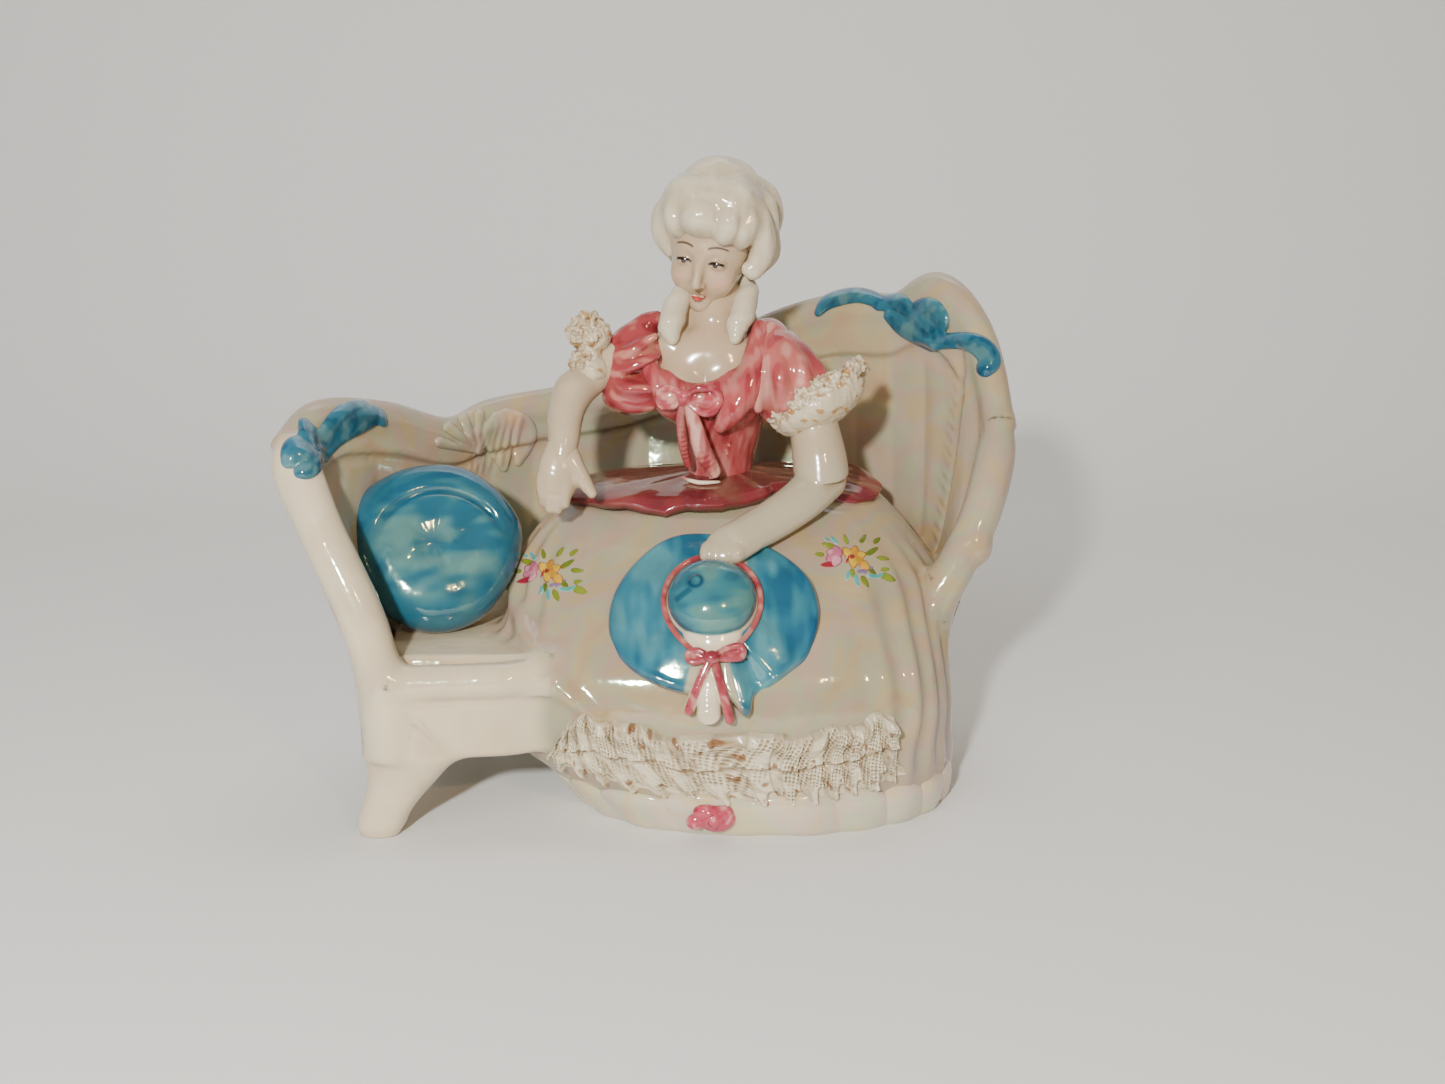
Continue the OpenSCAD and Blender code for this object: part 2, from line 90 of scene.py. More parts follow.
def noise(p, size, seed=0, stretch=(1, 1, 1), waves=14):
    """Smooth noise about zero at points p, with lumps of about size mm."""
    rng = np.random.default_rng(seed)
    k = unit(rng.normal(size=(waves, 3))) * rng.uniform(0.6, 1.5, (waves, 1)) * 2 * math.pi / (2 * size)
    k = k / np.asarray(stretch, float)
    phase = rng.uniform(0, 2 * math.pi, waves)
    q = np.asarray(p, np.float32)
    total = np.zeros(q.shape[:-1], np.float32)
    for j in range(waves):
        total += np.sin(q @ k[j].astype(np.float32) + np.float32(phase[j]))
    return total / math.sqrt(waves / 2)


# ---------------------------------------------------------------- modelling in distance fields


def egg(c, r, spin=None):
    """Ellipsoid with half sizes r about c, turned by the matrix spin."""
    c, r = np.array(c, float), np.ones(3) * r
    reach = r if spin is None else np.ones(3) * r.max()

    def distance(x, y, z):
        q = [x - c[0], y - c[1], z - c[2]]
        if spin is not None:
            q = [spin[0, i] * q[0] + spin[1, i] * q[1] + spin[2, i] * q[2] for i in range(3)]
        k0 = np.sqrt(sum((q[i] / r[i]) ** 2 for i in range(3)))
        k1 = np.sqrt(sum((q[i] / r[i] ** 2) ** 2 for i in range(3)))
        return k0 * (k0 - 1) / np.maximum(k1, 1e-6)
    return c - reach, c + reach, distance


def rod(a, b, ra, rb, flat=1.0, thin=None):
    """Round rod from a to b; flat under 1 makes it thinner along the direction thin."""
    a, b = np.array(a, float), np.array(b, float)
    ba = b - a
    ll = max(float(ba @ ba), 1e-9)
    reach = max(ra, rb)

    def distance(x, y, z):
        px, py, pz = x - a[0], y - a[1], z - a[2]
        t = np.clip((px * ba[0] + py * ba[1] + pz * ba[2]) / ll, 0, 1)
        qx, qy, qz = px - t * ba[0], py - t * ba[1], pz - t * ba[2]
        r = ra + (rb - ra) * t
        whole = qx * qx + qy * qy + qz * qz
        if flat == 1.0:
            return np.sqrt(whole) - r
        s2 = (qx * thin[0] + qy * thin[1] + qz * thin[2]) ** 2
        k0 = np.sqrt(whole + s2 * (1 / flat ** 2 - 1)) / r
        k1 = np.sqrt(whole + s2 * (1 / flat ** 4 - 1)) / r ** 2
        return k0 * (k0 - 1) / np.maximum(k1, 1e-6)
    return np.minimum(a, b) - reach, np.maximum(a, b) + reach, distance


def limb(line, radii, steps=14, flat=1.0, thin=None):
    """Chain of rods along the curve through line, with the radius read from radii."""
    t = np.linspace(0, 1, steps + 1)
    p, r = curve(line, t), curve(radii, t)
    d = None if thin is None else np.array(thin, float) / np.linalg.norm(thin)
    return [rod(p[k], p[k + 1], r[k], r[k + 1], flat, d) for k in range(steps)]


def placed(shapes, move, spin):
    """The shapes made in a local frame, turned by spin and moved to move."""
    move = np.array(move, float)
    out = []
    for low, high, f in shapes:
        corners = np.array([[x, y, z] for x in (low[0], high[0]) for y in (low[1], high[1])
                            for z in (low[2], high[2])]) @ spin.T + move

        def distance(x, y, z, f=f):
            q = [x - move[0], y - move[1], z - move[2]]
            return f(*[spin[0, i] * q[0] + spin[1, i] * q[1] + spin[2, i] * q[2] for i in range(3)])
        out.append((corners.min(0), corners.max(0), distance))
    return out


def without_specks(points, quads, least=60):
    """The mesh without its loose parts of fewer than least faces."""
    label = np.arange(len(points))
    while True:
        low = label.copy()
        np.minimum.at(low, quads.reshape(-1), np.repeat(label[quads].min(1), 4))
        low = low[low]
        if np.array_equal(low, label):
            break
        label = low
    part = label[quads[:, 0]]
    keep = np.bincount(part, minlength=len(points))[part] >= least
    if keep.all():
        return points, quads
    used, inverse = np.unique(quads[keep], return_inverse=True)
    return points[used], inverse.reshape(-1, 4)


FAR = 9.0


def smooth_min(a, b, k):
    if k <= 0:
        return np.minimum(a, b)
    h = np.maximum(k - np.abs(a - b), 0) / k
    return np.minimum(a, b) - h * h * (k / 4)


class Clay:
    """Signed distances in mm on a regular grid; the solid is where they are below zero."""

    def __init__(self, low, high, voxel):
        self.voxel = voxel * COARSE
        self.low = np.array(low, float)
        self.size = np.ceil((np.array(high, float) - self.low) / self.voxel).astype(int) + 1
        self.d = np.full(self.size, FAR, np.float32)

    def axes(self, start=(0, 0, 0), end=None):
        end = self.size if end is None else end
        ticks = [(self.low[i] + self.voxel * np.arange(start[i], end[i])).astype(np.float32) for i in range(3)]
        return np.meshgrid(*ticks, indexing="ij", sparse=True)

    def window(self, low, high):
        start = np.clip(np.floor((np.asarray(low) - self.low) / self.voxel), 0, self.size).astype(int)
        end = np.clip(np.ceil((np.asarray(high) - self.low) / self.voxel) + 1, 0, self.size).astype(int)
        return start, np.maximum(end, start)

    def near(self, shapes, pad):
        """Part of the grid round the shapes, and their joint distance in it."""
        start, end = self.window(np.min([s[0] for s in shapes], 0) - pad, np.max([s[1] for s in shapes], 0) + pad)
        d = np.full(end - start, FAR, np.float32)
        for low, high, f in shapes:
            a, b = self.window(low - pad, high + pad)
            if np.all(b > a):
                part = tuple(slice(i - j, k - j) for i, k, j in zip(a, b, start))
                np.minimum(d[part], f(*self.axes(a, b)), out=d[part])
        return tuple(slice(i, j) for i, j in zip(start, end)), d

    def add(self, shapes, k=0.0):
        where, d = self.near(shapes, k + 2.0)
        self.d[where] = smooth_min(self.d[where], d, k)

    def cut(self, shapes, k=0.0):
        where, d = self.near(shapes, k + 2.0)
        self.d[where] = -smooth_min(-self.d[where], d, k)

    def field(self, points, quads, tris):
        """Distances of a closed mesh on this grid."""
        faces = {"quads": np.asarray(quads, np.uint32)} if len(quads) else {}
        if len(tris):
            faces["triangles"] = np.asarray(tris, np.uint32)
        reach = math.ceil(4.6 / self.voxel)
        grid = openvdb.FloatGrid.createLevelSetFromPolygons(
            np.ascontiguousarray(points - self.low, np.float32),
            transform=openvdb.createLinearTransform(voxelSize=self.voxel), halfWidth=reach, **faces)
        out = np.empty(self.size, np.float32)
        grid.copyToArray(out, ijk=(0, 0, 0))
        return out

    def soften(self, rounds=1):
        for _ in range(rounds):
            for axis in range(3):
                d = np.moveaxis(self.d, axis, 0)
                d[1:-1] = (d[:-2] + 2 * d[1:-1] + d[2:]) / 4

    def at(self, points, d=None):
        """Distance at any points, read between the grid's own."""
        d = self.d if d is None else d
        q = (np.asarray(points) - self.low) / self.voxel
        top = np.array(d.shape) - 2
        k = np.clip(np.floor(q).astype(int), 0, top)
        f = np.clip(q - k, 0, 1)
        share = [(1 - f[:, i], f[:, i]) for i in range(3)]
        total = 0
        for i in (0, 1):
            for j in (0, 1):
                for m in (0, 1):
                    weight = share[0][i] * share[1][j] * share[2][m]
                    total = total + weight * d[k[:, 0] + i, k[:, 1] + j, k[:, 2] + m]
        return total

    def skin(self, d=None):
        """Points in mm and quads of the surface."""
        d = self.d if d is None else d
        d = d.copy()
        for axis in range(3):
            edge = np.moveaxis(d, axis, 0)
            edge[0], edge[-1] = FAR, FAR
        grid = openvdb.FloatGrid(FAR)
        grid.copyFromArray(d)
        grid.transform = openvdb.createLinearTransform(voxelSize=self.voxel)
        points, quads = grid.convertToQuads(0.0)
        return without_specks(points.astype(float) + self.low, quads)


# ---------------------------------------------------------------- meshes

CREASE_REACH = 1.2


def loft(rings):
    """Closed mesh through rings of points: points, quads, triangles."""
    m, n = rings.shape[:2]
    points = np.concatenate([rings.reshape(-1, 3), rings[0].mean(0)[None], rings[-1].mean(0)[None]])
    i = np.arange(n)
    j = (i + 1) % n
    k = np.arange(m - 1)[:, None] * n
    quads = np.stack([k + i, k + j, k + n + j, k + n + i], -1).reshape(-1, 4)
    low = np.stack([np.full(n, m * n), j, i], -1)
    high = np.stack([np.full(n, m * n + 1), (m - 1) * n + i, (m - 1) * n + j], -1)
    return points, quads, np.concatenate([low, high])


def slab(top, under):
    """Closed mesh between two grids of points with the same shape."""
    m, n = top.shape[:2]
    points = np.concatenate([top.reshape(-1, 3), under.reshape(-1, 3)])
    a = (np.arange(m - 1)[:, None] * n + np.arange(n - 1)).reshape(-1)
    up = np.stack([a, a + 1, a + n + 1, a + n], -1)
    quads = [up, up[:, ::-1] + m * n]
    edge = np.concatenate([np.arange(n), np.arange(1, m) * n + n - 1,
                           (m - 1) * n + np.arange(n - 2, -1, -1), np.arange(m - 2, 0, -1) * n])
    nxt = np.roll(edge, -1)
    quads.append(np.stack([edge, edge + m * n, nxt + m * n, nxt], -1))
    return points, np.concatenate(quads)


def outward_faces(points, quads):
    """The quads, all turned over if the mesh's volume comes out negative."""
    p = points - points.mean(0)
    a, b, c, d = (p[quads[:, i]] for i in range(4))
    volume = np.einsum("ij,ij->i", a, np.cross(b, c)).sum() + np.einsum("ij,ij->i", a, np.cross(c, d)).sum()
    return quads if volume > 0 else quads[:, ::-1]


def outward_loft(points, quads, tris):
    """The faces of a lofted mesh, all turned over if they look inward."""
    a, b, c = (points[quads[:, i]] - points.mean(0) for i in range(3))
    if np.einsum("ij,ij->i", a, np.cross(b, c)).sum() < 0:
        return quads[:, ::-1], tris[:, ::-1]
    return quads, tris


def normals(points, quads):
    n = np.cross(points[quads[:, 2]] - points[quads[:, 0]], points[quads[:, 3]] - points[quads[:, 1]])
    total = np.zeros_like(points)
    for i in range(4):
        np.add.at(total, quads[:, i], n)
    return unit(total)


def relax(points, quads, rounds=2, amount=0.5):
    """Evens out small steps in a mesh, and takes back the shrinking this causes."""
    a = quads.reshape(-1)
    b = np.roll(quads, -1, axis=1).reshape(-1)
    count = np.maximum(np.bincount(a, minlength=len(points)) + np.bincount(b, minlength=len(points)), 1)
    for k in range(rounds * 2):
        mean = np.stack([np.bincount(a, points[b, i], len(points)) + np.bincount(b, points[a, i], len(points))
                         for i in range(3)], -1) / count[:, None]
        points = points + (mean - points) * (amount if k % 2 == 0 else -amount * 1.04)
    return points


def piece(name, nodes, finish, points, quads, paint, tris=()):
    """One visible piece of the object from points in mm, standing for the CAD nodes."""
    slot, material = finish
    mesh = bpy.data.meshes.new(name)
    quads, tris = np.asarray(quads, np.int32), np.asarray(tris, np.int32).reshape(-1, 3)
    loops = np.concatenate([quads.reshape(-1), tris.reshape(-1)])
    total = np.concatenate([np.full(len(quads), 4), np.full(len(tris), 3)]).astype(np.int32)
    mesh.vertices.add(len(points))
    mesh.vertices.foreach_set("co", (np.asarray(points) * MM).astype(np.float32).reshape(-1))
    mesh.loops.add(len(loops))
    mesh.loops.foreach_set("vertex_index", loops)
    mesh.polygons.add(len(total))
    mesh.polygons.foreach_set("loop_start", np.concatenate([[0], np.cumsum(total)[:-1]]).astype(np.int32))
    mesh.polygons.foreach_set("loop_total", total)
    mesh.update(calc_edges=True)
    mesh.validate()
    mesh.polygons.foreach_set("use_smooth", np.ones(len(mesh.polygons), bool))
    attribute = mesh.color_attributes.new("paint", "FLOAT_COLOR", "POINT")
    rgba = paint if paint.shape[1] == 4 else np.concatenate([paint, np.ones((len(paint), 1))], 1)
    attribute.data.foreach_set("color", rgba.astype(np.float32).reshape(-1))
    mesh.materials.append(material)
    thing = bpy.data.objects.new(name, mesh)
    bpy.context.scene.collection.objects.link(thing)
    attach(thing, "root")
    if nodes:
        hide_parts(*nodes)


def creases(clay, points, n, reach=CREASE_REACH, d=None):
    """How deep in a crease each point lies, from 0 in the open to 1."""
    return np.clip(1.15 - clay.at(points + n * reach, d) / reach, 0, 1)


def sculpt(name, node, finish, clay, colours, rounds=2, relief=None, pool_and_shade=0.6):
    """A piece from a distance field; colours(points, normals) paints it, relief moves it along its normals, and
    its creases get painted shade, partly glaze pooled there.
    """
    points, quads = clay.skin()
    points = relax(points, quads, rounds)
    n = normals(points, quads)
    if relief is not None:
        points = points + n * relief(points, n)[:, None]
        n = normals(points, quads)
    paint = colours(points, n)
    # Painted shade: creases darkened and browned by how deep they lie, partly standing for glaze pooled in them
    paint = paint * (1 - pool_and_shade * creases(clay, points, n)[:, None] * (1 - POOLED_GLAZE_AND_SHADE_TINT))
    piece(name, [node], finish, points, quads, paint)


# ---------------------------------------------------------------- colours and glazes


def tone(code):
    """Linear colour from a six-digit code."""
    s = np.array([int(code[i:i + 2], 16) for i in (0, 2, 4)]) / 255
    return np.where(s <= 0.04045, s / 12.92, ((s + 0.055) / 1.055) ** 2.4)


CREAM = tone("e6dabc")
WHITE = tone("c8bea4")
SKIN = tone("b5a083")
LACE = tone("d0c5a8")
PEARL = tone("b0a68c")
# Brown tint of the painted crease shade and of the glaze pooled in creases
POOLED_GLAZE_AND_SHADE_TINT = np.array([0.60, 0.46, 0.33])
BLACK = tone("1d1614")


def coat(colour, points):
    """The same colour for every point."""
    return np.tile(colour, (len(points), 1))


def mix(a, b, f):
    f = np.clip(np.asarray(f, float), 0, 1)[..., None]
    return a * (1 - f) + b * f


def glaze(name, mottle=0.06, lustre=0.0, rough=0.1, ripple=0.25, coat=0.45, depth=0.12, grain=60.0):
    """Fired glaze over the painted colour, with clouding, mother-of-pearl lustre and a rippled surface."""
    mat = bpy.data.materials.new(name)
    mat.use_nodes = True
    tree = mat.node_tree
    nodes, link = tree.nodes, tree.links.new
    shader = nodes["Principled BSDF"]
    where = nodes.new("ShaderNodeTexCoord").outputs["Object"]

    def cloud(scale, detail=3.0, distort=0.0):
        n = nodes.new("ShaderNodeTexNoise")
        n.inputs["Scale"].default_value = scale
        n.inputs["Detail"].default_value = detail
        n.inputs["Distortion"].default_value = distort
        link(where, n.inputs["Vector"])
        return n.outputs["Fac"]

    def ramp(source, stops):
        r = nodes.new("ShaderNodeValToRGB")
        while len(r.color_ramp.elements) < len(stops):
            r.color_ramp.elements.new(0.5)
        for element, (place, colour) in zip(r.color_ramp.elements, stops):
            element.position = place
            element.color = (*colour, 1)
        link(source, r.inputs["Fac"])
        return r.outputs["Color"]

    def blend(kind, amount, a, b):
        m = nodes.new("ShaderNodeMix")
        m.data_type = "RGBA"
        m.blend_type = kind
        m.inputs["Factor"].default_value = amount
        link(a, m.inputs[6])
        link(b, m.inputs[7])
        return m.outputs[2]

    painted = nodes.new("ShaderNodeAttribute")
    painted.attribute_name = "paint"
    dark, light = 1 - mottle * 2.2, 1 + mottle * 0.4
    colour = blend("MULTIPLY", 1.0, painted.outputs["Color"],
                   ramp(cloud(grain, 5.0, 0.6), [(0.3, (dark,) * 3), (0.65, (light,) * 3)]))
    if lustre:
        pearl = ramp(cloud(55.0, 2.0, 1.6), [
            (0.3, (1.0, 0.84, 0.77)), (0.4, (1.0, 0.97, 0.80)), (0.48, (0.84, 0.98, 0.96)),
            (0.56, (0.97, 0.85, 0.97)), (0.66, (1.0, 0.90, 0.72))])
        share = nodes.new("ShaderNodeMath")
        share.operation = "MULTIPLY"
        share.inputs[1].default_value = lustre
        link(painted.outputs["Alpha"], share.inputs[0])
        colour = blend("MULTIPLY", lustre, colour, pearl)
        link(share.outputs[0], colour.node.inputs["Factor"])
        shader.inputs["Thin Film Thickness"].default_value = 420.0
        shader.inputs["Thin Film IOR"].default_value = 1.6
    link(colour, shader.inputs["Base Color"])
    spread = nodes.new("ShaderNodeMapRange")
    spread.inputs["To Min"].default_value = rough * 0.6
    spread.inputs["To Max"].default_value = rough * 1.6
    link(cloud(140.0, 4.0), spread.inputs["Value"])
    link(spread.outputs["Result"], shader.inputs["Roughness"])
    bumpy = nodes.new("ShaderNodeBump")
    bumpy.inputs["Strength"].default_value = ripple
    bumpy.inputs["Distance"].default_value = 0.0006
    link(cloud(210.0, 2.0), bumpy.inputs["Height"])
    link(bumpy.outputs["Normal"], shader.inputs["Normal"])
    shader.inputs["IOR"].default_value = 1.52
    shader.inputs["Coat Weight"].default_value = coat
    shader.inputs["Coat Roughness"].default_value = 0.03
    shader.inputs["Subsurface Weight"].default_value = depth
    shader.inputs["Subsurface Radius"].default_value = (0.0016, 0.0011, 0.0008)
    shader.inputs["Subsurface Scale"].default_value = 1.0
    return mat


# Each finish is a slot name and its material
PEARL_GLAZE = ("glaze_lustre", glaze("pearl_glaze", 0.06, 0.9, 0.1, 0.34))
CREAM_GLAZE = ("glaze_cream", glaze("cream_glaze", 0.06, 0.9, 0.1, 0.34))
WHITE_GLAZE = ("glaze_white", glaze("white_glaze", 0.05, 0.0, 0.13, 0.2))
SKIN_GLAZE = ("glaze_skin", glaze("skin_glaze", 0.03, 0.0, 0.14, 0.12))
BLUE_GLAZE = ("glaze_blue", glaze("blue_glaze", 0.12, 0.12, 0.09, 0.34, grain=110.0))
ROSE_GLAZE = ("glaze_rose", glaze("rose_glaze", 0.1, 0.0, 0.09, 0.3, grain=130.0))
LACE_GLAZE = ("porcelain_lace", glaze("lace_glaze", 0.08, 0.0, 0.2, 0.3, 0.3, grain=300.0))


def brushed(codes, size, seed, lift=0.0, grain=(1, 1, 1)):
    """Uneven brush strokes in a base, a pale and a deep colour: pale where thin, deep where the paint pools."""
    base, pale, deep = (tone(code) for code in codes.split())

    def colours(p, n):
        s = noise(p, size, seed, grain) + 0.5 * noise(p, size * 0.45, seed + 1, grain)
        c = mix(base, pale, step(s + lift, 0.1, 1.5))
        return mix(c, deep, step(-s, 0.5, 1.8) * 0.8)
    return colours


# ---------------------------------------------------------------- settee and gown: driving lines

# Heights of the seat's top and of the front rail's foot
SEAT, RAIL_FOOT = 31.0, 16.0
TUBE_SIDES, LEG_SIDES = 24, 32
BASE_LINE = [
    [-50, -36], [-54, -26], [-55, -13], [-51, 0], [-44, 9], [-33, 16], [-18, 21],
    [-2, 23.5], [14, 24.5], [29, 24], [42, 20.5], [51.5, 12], [55, 0], [52.5, -13.5]]
CREST_LINE = [
    [-68.5, -22, 69], [-64.5, -13, 73.5], [-55.5, 1, 71], [-45, 14, 65.5], [-37, 23, 67.5], [-25, 30, 68.5],
    [-8, 35.5, 70.5], [8, 37.3, 76.5], [24, 37.3, 84.5], [38, 34, 88.8], [49, 29, 89.5], [57, 22, 93.5],
    [64, 11, 85], [67.2, 2, 68.5]]
LEFT_POST = [[-49, -36.5, 16], [-49.5, -36.5, 26], [-54, -34, 42], [-61.5, -29, 57], [-66.5, -24, 67],
             [-67.5, -21.5, 72]]
RIGHT_POST = [[50, -14.5, 27.5], [51.5, -14, 34], [56.5, -12, 43], [62.5, -7.5, 54], [66.0, -1.5, 64.5],
              [67.2, 2.5, 71.5]]
LADY_X = 12.0
# Height, middle, half width, front reach, back reach and roundness of the gown
SKIRT_ROWS = np.array([
    [0, 20, 36.5, -36.5, 13, 0.85], [6, 17.8, 39.8, -38, 14, 0.85], [14, 13.5, 43, -38.3, 16, 0.74],
    [22, 12, 44, -38, 18, 0.62], [30, 11.5, 43.5, -36, 20, 0.62], [37, 12.5, 42, -31, 21.5, 0.75],
    [44, 12.5, 41, -24.5, 22.5, 0.85], [50, 12, 37, -18.5, 23, 0.9], [54.5, 12, 32.5, -13, 23, 1],
    [57, 12, 27, -7, 20, 1]])


def wall_rings(steps, rows):
    """Sections of the curved back from the left post round to the right one."""
    t = np.linspace(0.02, 0.98, steps)
    v = np.linspace(0, 1, rows)
    base, crest = curve(BASE_LINE, t), curve(CREST_LINE, t)
    d = slope(BASE_LINE, t)
    out = np.stack([-d[:, 1], d[:, 0], np.zeros(steps)], -1)
    low = np.concatenate([base, np.full((steps, 1), SEAT - 3)], 1)
    mid = low[:, None] + (crest - low)[:, None] * v[None, :, None] \
        + out[:, None] * 1.5 * np.sin(math.pi * v)[None, :, None]
    tt, vv = t[:, None], v[None, :]
    # Upholstered inside: slanting channels below a raised border
    channel = np.abs(np.sin(math.pi * (tt * 17 + 0.9 * vv)))
    relief = 0.45 * channel ** 0.6 * step(vv, 0.12, 0.3) * (1 - step(vv, 0.78, 0.84)) \
        * (1 - step(tt, 0.86, 0.9)) * step(tt, 0.04, 0.08)
    border = 1.0 * step(vv, 0.845, 0.865) - 0.35 * bump(vv, 0.84, 0.012)
    side = 0.9 * step(tt, 0.925, 0.935) - 0.5 * bump(tt, 0.918, 0.004)
    ribbed = 0.22 * np.sin(vv * 150) * step(tt, 0.89, 0.9) * (1 - step(tt, 0.912, 0.918))
    ripples = 0.55 * np.sin(2 * math.pi * (tt - 0.25) / 0.013 + 5 * vv) * step(tt, 0.25, 0.27) \
        * (1 - step(tt, 0.335, 0.345)) * step(vv, 0.7, 0.8)
    relief = relief + np.maximum(border, 0) * (1 - step(tt, 0.9, 0.93)) + np.minimum(border, 0) + side \
        + ribbed + ripples
    inner = mid - out[:, None] * (2.5 + relief[..., None])
    outer = mid + out[:, None] * 2.5
    under_z = RAIL_FOOT + 90 * np.maximum(0, t - 0.88)
    under_out, under_in = low + out * 2.5, low - out * 2.5
    under_out[:, 2] = under_in[:, 2] = under_z
    return np.concatenate([under_out[:, None], outer, inner[:, ::-1], under_in[:, None]], 1)


def limb_rings(line, radii, steps, hint):
    """Sections of a round limb along a curve; hint is a direction across it."""
    t = np.linspace(0, 1, steps)
    c, d, r = curve(line, t), slope(line, t), curve(radii, t)
    s = unit(np.cross(hint, d))
    u = np.cross(d, s)
    a = np.linspace(0, 2 * math.pi, TUBE_SIDES, endpoint=False)[None, :, None]
    return c[:, None] + r[:, None, None] * (np.cos(a) * s[:, None] + np.sin(a) * u[:, None])


def skirt_row(z):
    """The gown's row of measures at height z."""
    levels = SKIRT_ROWS[:, 0]
    k = np.clip(np.searchsorted(levels, z, side="right") - 1, 0, len(levels) - 2)
    x = k + (z - levels[k]) / (levels[k + 1] - levels[k])
    return curve(SKIRT_ROWS, x / (len(levels) - 1))


def folds(a, z):
    """How far the folds of the gown stand out at angle a in degrees and height z."""
    f = 0.35 * np.cos(np.radians(9 * a)) * (1 - z / 70)
    right = step(z, 3, 12) * (1 - step(z, 40, 52))
    for middle, lean, high, wide in ((303, 0.10, 1.0, 4.2), (315, 0.12, 1.3, 3.4), (326, 0.1, 1.1, 3.2),
                                     (337, 0.05, 1.0, 3.4), (349, 0.0, 1.0, 4.0)):
        f = f + high * bump(a, middle + lean * (z - 25), wide) * right
    left = step(z, 2, 14) * (1 - step(z, 46, 54))
    for middle, lean, high, wide in ((189, 0.0, 1.0, 4.0), (201, -0.12, 1.3, 3.6), (213, -0.2, 1.0, 3.4),
                                     (225, -0.25, 0.8, 4.0)):
        f = f + high * bump(a, middle + lean * (z - 25), wide) * left
    for middle in (20, 42, 64, 90, 116, 138, 160):
        f = f + 0.9 * bump(a, middle, 5) * step(z, 2, 12) * (1 - step(z, 44, 52))
    return f


def skirt_point(z, a, g=0.0, fold=1.0):
    """Point of the gown, grown by g mm, at height z and angle a in degrees."""
    z, a = np.broadcast_arrays(np.asarray(z, float), np.asarray(a, float))
    r = skirt_row(np.clip(z, 0, 56.99))
    c, s = np.cos(np.radians(a)), np.sin(np.radians(a))
    y0 = (r[..., 3] + r[..., 4]) / 2 + 2
    grow = g + fold * folds(np.mod(a, 360), z)
    b = np.where(s < 0, y0 - r[..., 3], r[..., 4] - y0) + grow
    e = r[..., 5]
    return np.stack([r[..., 1] + (r[..., 2] + grow) * np.sign(c) * np.abs(c) ** e,
                     y0 + b * np.sign(s) * np.abs(s) ** e, z], -1)


def skirt_normal(z, a):
    dz = skirt_point(z + 0.4, a) - skirt_point(z - 0.4, a)
    da = skirt_point(z, a + 0.5) - skirt_point(z, a - 0.5)
    return unit(np.cross(da, dz))


def skirt_rings(g, top, levels, around, fold=1.0):
    z = np.linspace(0, top, levels)[:, None]
    a = np.linspace(0, 360, around, endpoint=False)[None, :]
    return skirt_point(z, a, g, fold)


# ---------------------------------------------------------------- settee and gown: one blended body

BODY_GRID = ([-76, -45, -2], [76, 45, 101], 0.5)
body = Clay(*BODY_GRID)
x, y, z = body.axes()


def tube(line, radii, steps, hint=(0, -1, 0)):
    """Distances of a round limb on the body's grid."""
    return body.field(*loft(limb_rings(line, radii, steps, hint)))


parts = {}
parts["settee_back"] = body.field(*loft(wall_rings(420, 60)))
# Clay worked into the corners between the posts' feet and the ends of the wall
for line, radii in (
        ([[54.4, -12.6, 43], [53.0, -13.4, 37], [52.2, -14.0, 31], [51.6, -14.6, 25], [51.2, -15.0, 19]],
         [2.0, 2.6, 2.8, 2.6, 1.4]),
        ([[57.4, -9.8, 44], [55.9, -11.0, 39], [54.2, -12.2, 34], [53.0, -13.4, 29], [52.2, -14.2, 24]],
         [2.2, 2.3, 2.2, 2.0, 1.6]),
        ([[-54.6, -32.0, 44], [-52.8, -33.0, 39], [-52.0, -33.6, 34], [-51.6, -34.2, 29], [-51.2, -34.6, 23]],
         [2.4, 3.0, 3.2, 3.0, 2.0])):
    parts["settee_back"] = smooth_min(parts["settee_back"], tube(line, radii, 30), 3.0)
CREST_R = [3.1, 3.4, 3.4, 3.2, 3.4, 3.6, 3.4, 3.4, 3.4, 3.4, 3.2, 4.0, 3.4, 3.1]
parts["crest_rail"] = tube(np.array(CREST_LINE) + [0, 0, 0.8], CREST_R, 200, (0, 0, 1))
parts["left_post"] = tube(LEFT_POST, [4.6, 4.2, 4.2, 4.2, 4.4, 2.4], 60)
parts["right_post"] = tube(RIGHT_POST, [2.8, 3.2, 3.8, 4.0, 4.0, 2.4], 60)


def prism(outline, low, high):
    """Straight block between two heights over an outline in X and Y."""
    p = np.array(outline, float)
    ring = [np.concatenate([p, np.full((len(p), 1), h)], 1) for h in (low, high)]
    return loft(np.stack(ring))


t = np.linspace(0.025, 0.5, 24)
d = slope(BASE_LINE, t)
inside = curve(BASE_LINE, t) + 0.5 * np.stack([d[:, 1], -d[:, 0]], -1)
deck = np.concatenate([inside, [[0, 0], [-6, -20], [-20, -35.5], [-47, -35.5]]])
pad = np.array([[-47, -31], [-50, -22], [-51, -12], [-47.5, -1], [-41, 7], [-30, 13], [-18, 16],
                [-12, 10], [-12, -24], [-22, -30.5]])
parts["seat_deck"] = smooth_min(body.field(*prism(deck, SEAT - 4, SEAT - 1.2)),
                                body.field(*prism(pad, SEAT - 3, SEAT + 1.0)) - 1.2, 0.8)


def box_field(low, high, r, across):
    """Block with edges rounded by r."""
    q = [np.abs(v - (a + b) / 2) - (b - a) / 2 + r for v, a, b in zip((x, across, z), low, high)]
    outside = np.sqrt(sum(np.maximum(v, 0) ** 2 for v in q))
    return outside + np.minimum(np.maximum(np.maximum(q[0], q[1]), q[2]), 0) - r


slant = 0.09 * (x + 50) + 0.035 * np.maximum(0, x + 30) ** 2
apron = box_field((-50, -39.2, 15.2), (-17, -34, 26.6), 1.4, y - slant)
roll = np.sqrt((y - slant + 36.6) ** 2 + (z - 29.3) ** 2) - 3.5
roll = np.maximum(np.maximum(roll, x + 17.5), -50 - x)
parts["front_rail"] = smooth_min(apron, roll, 1.0).astype(np.float32)


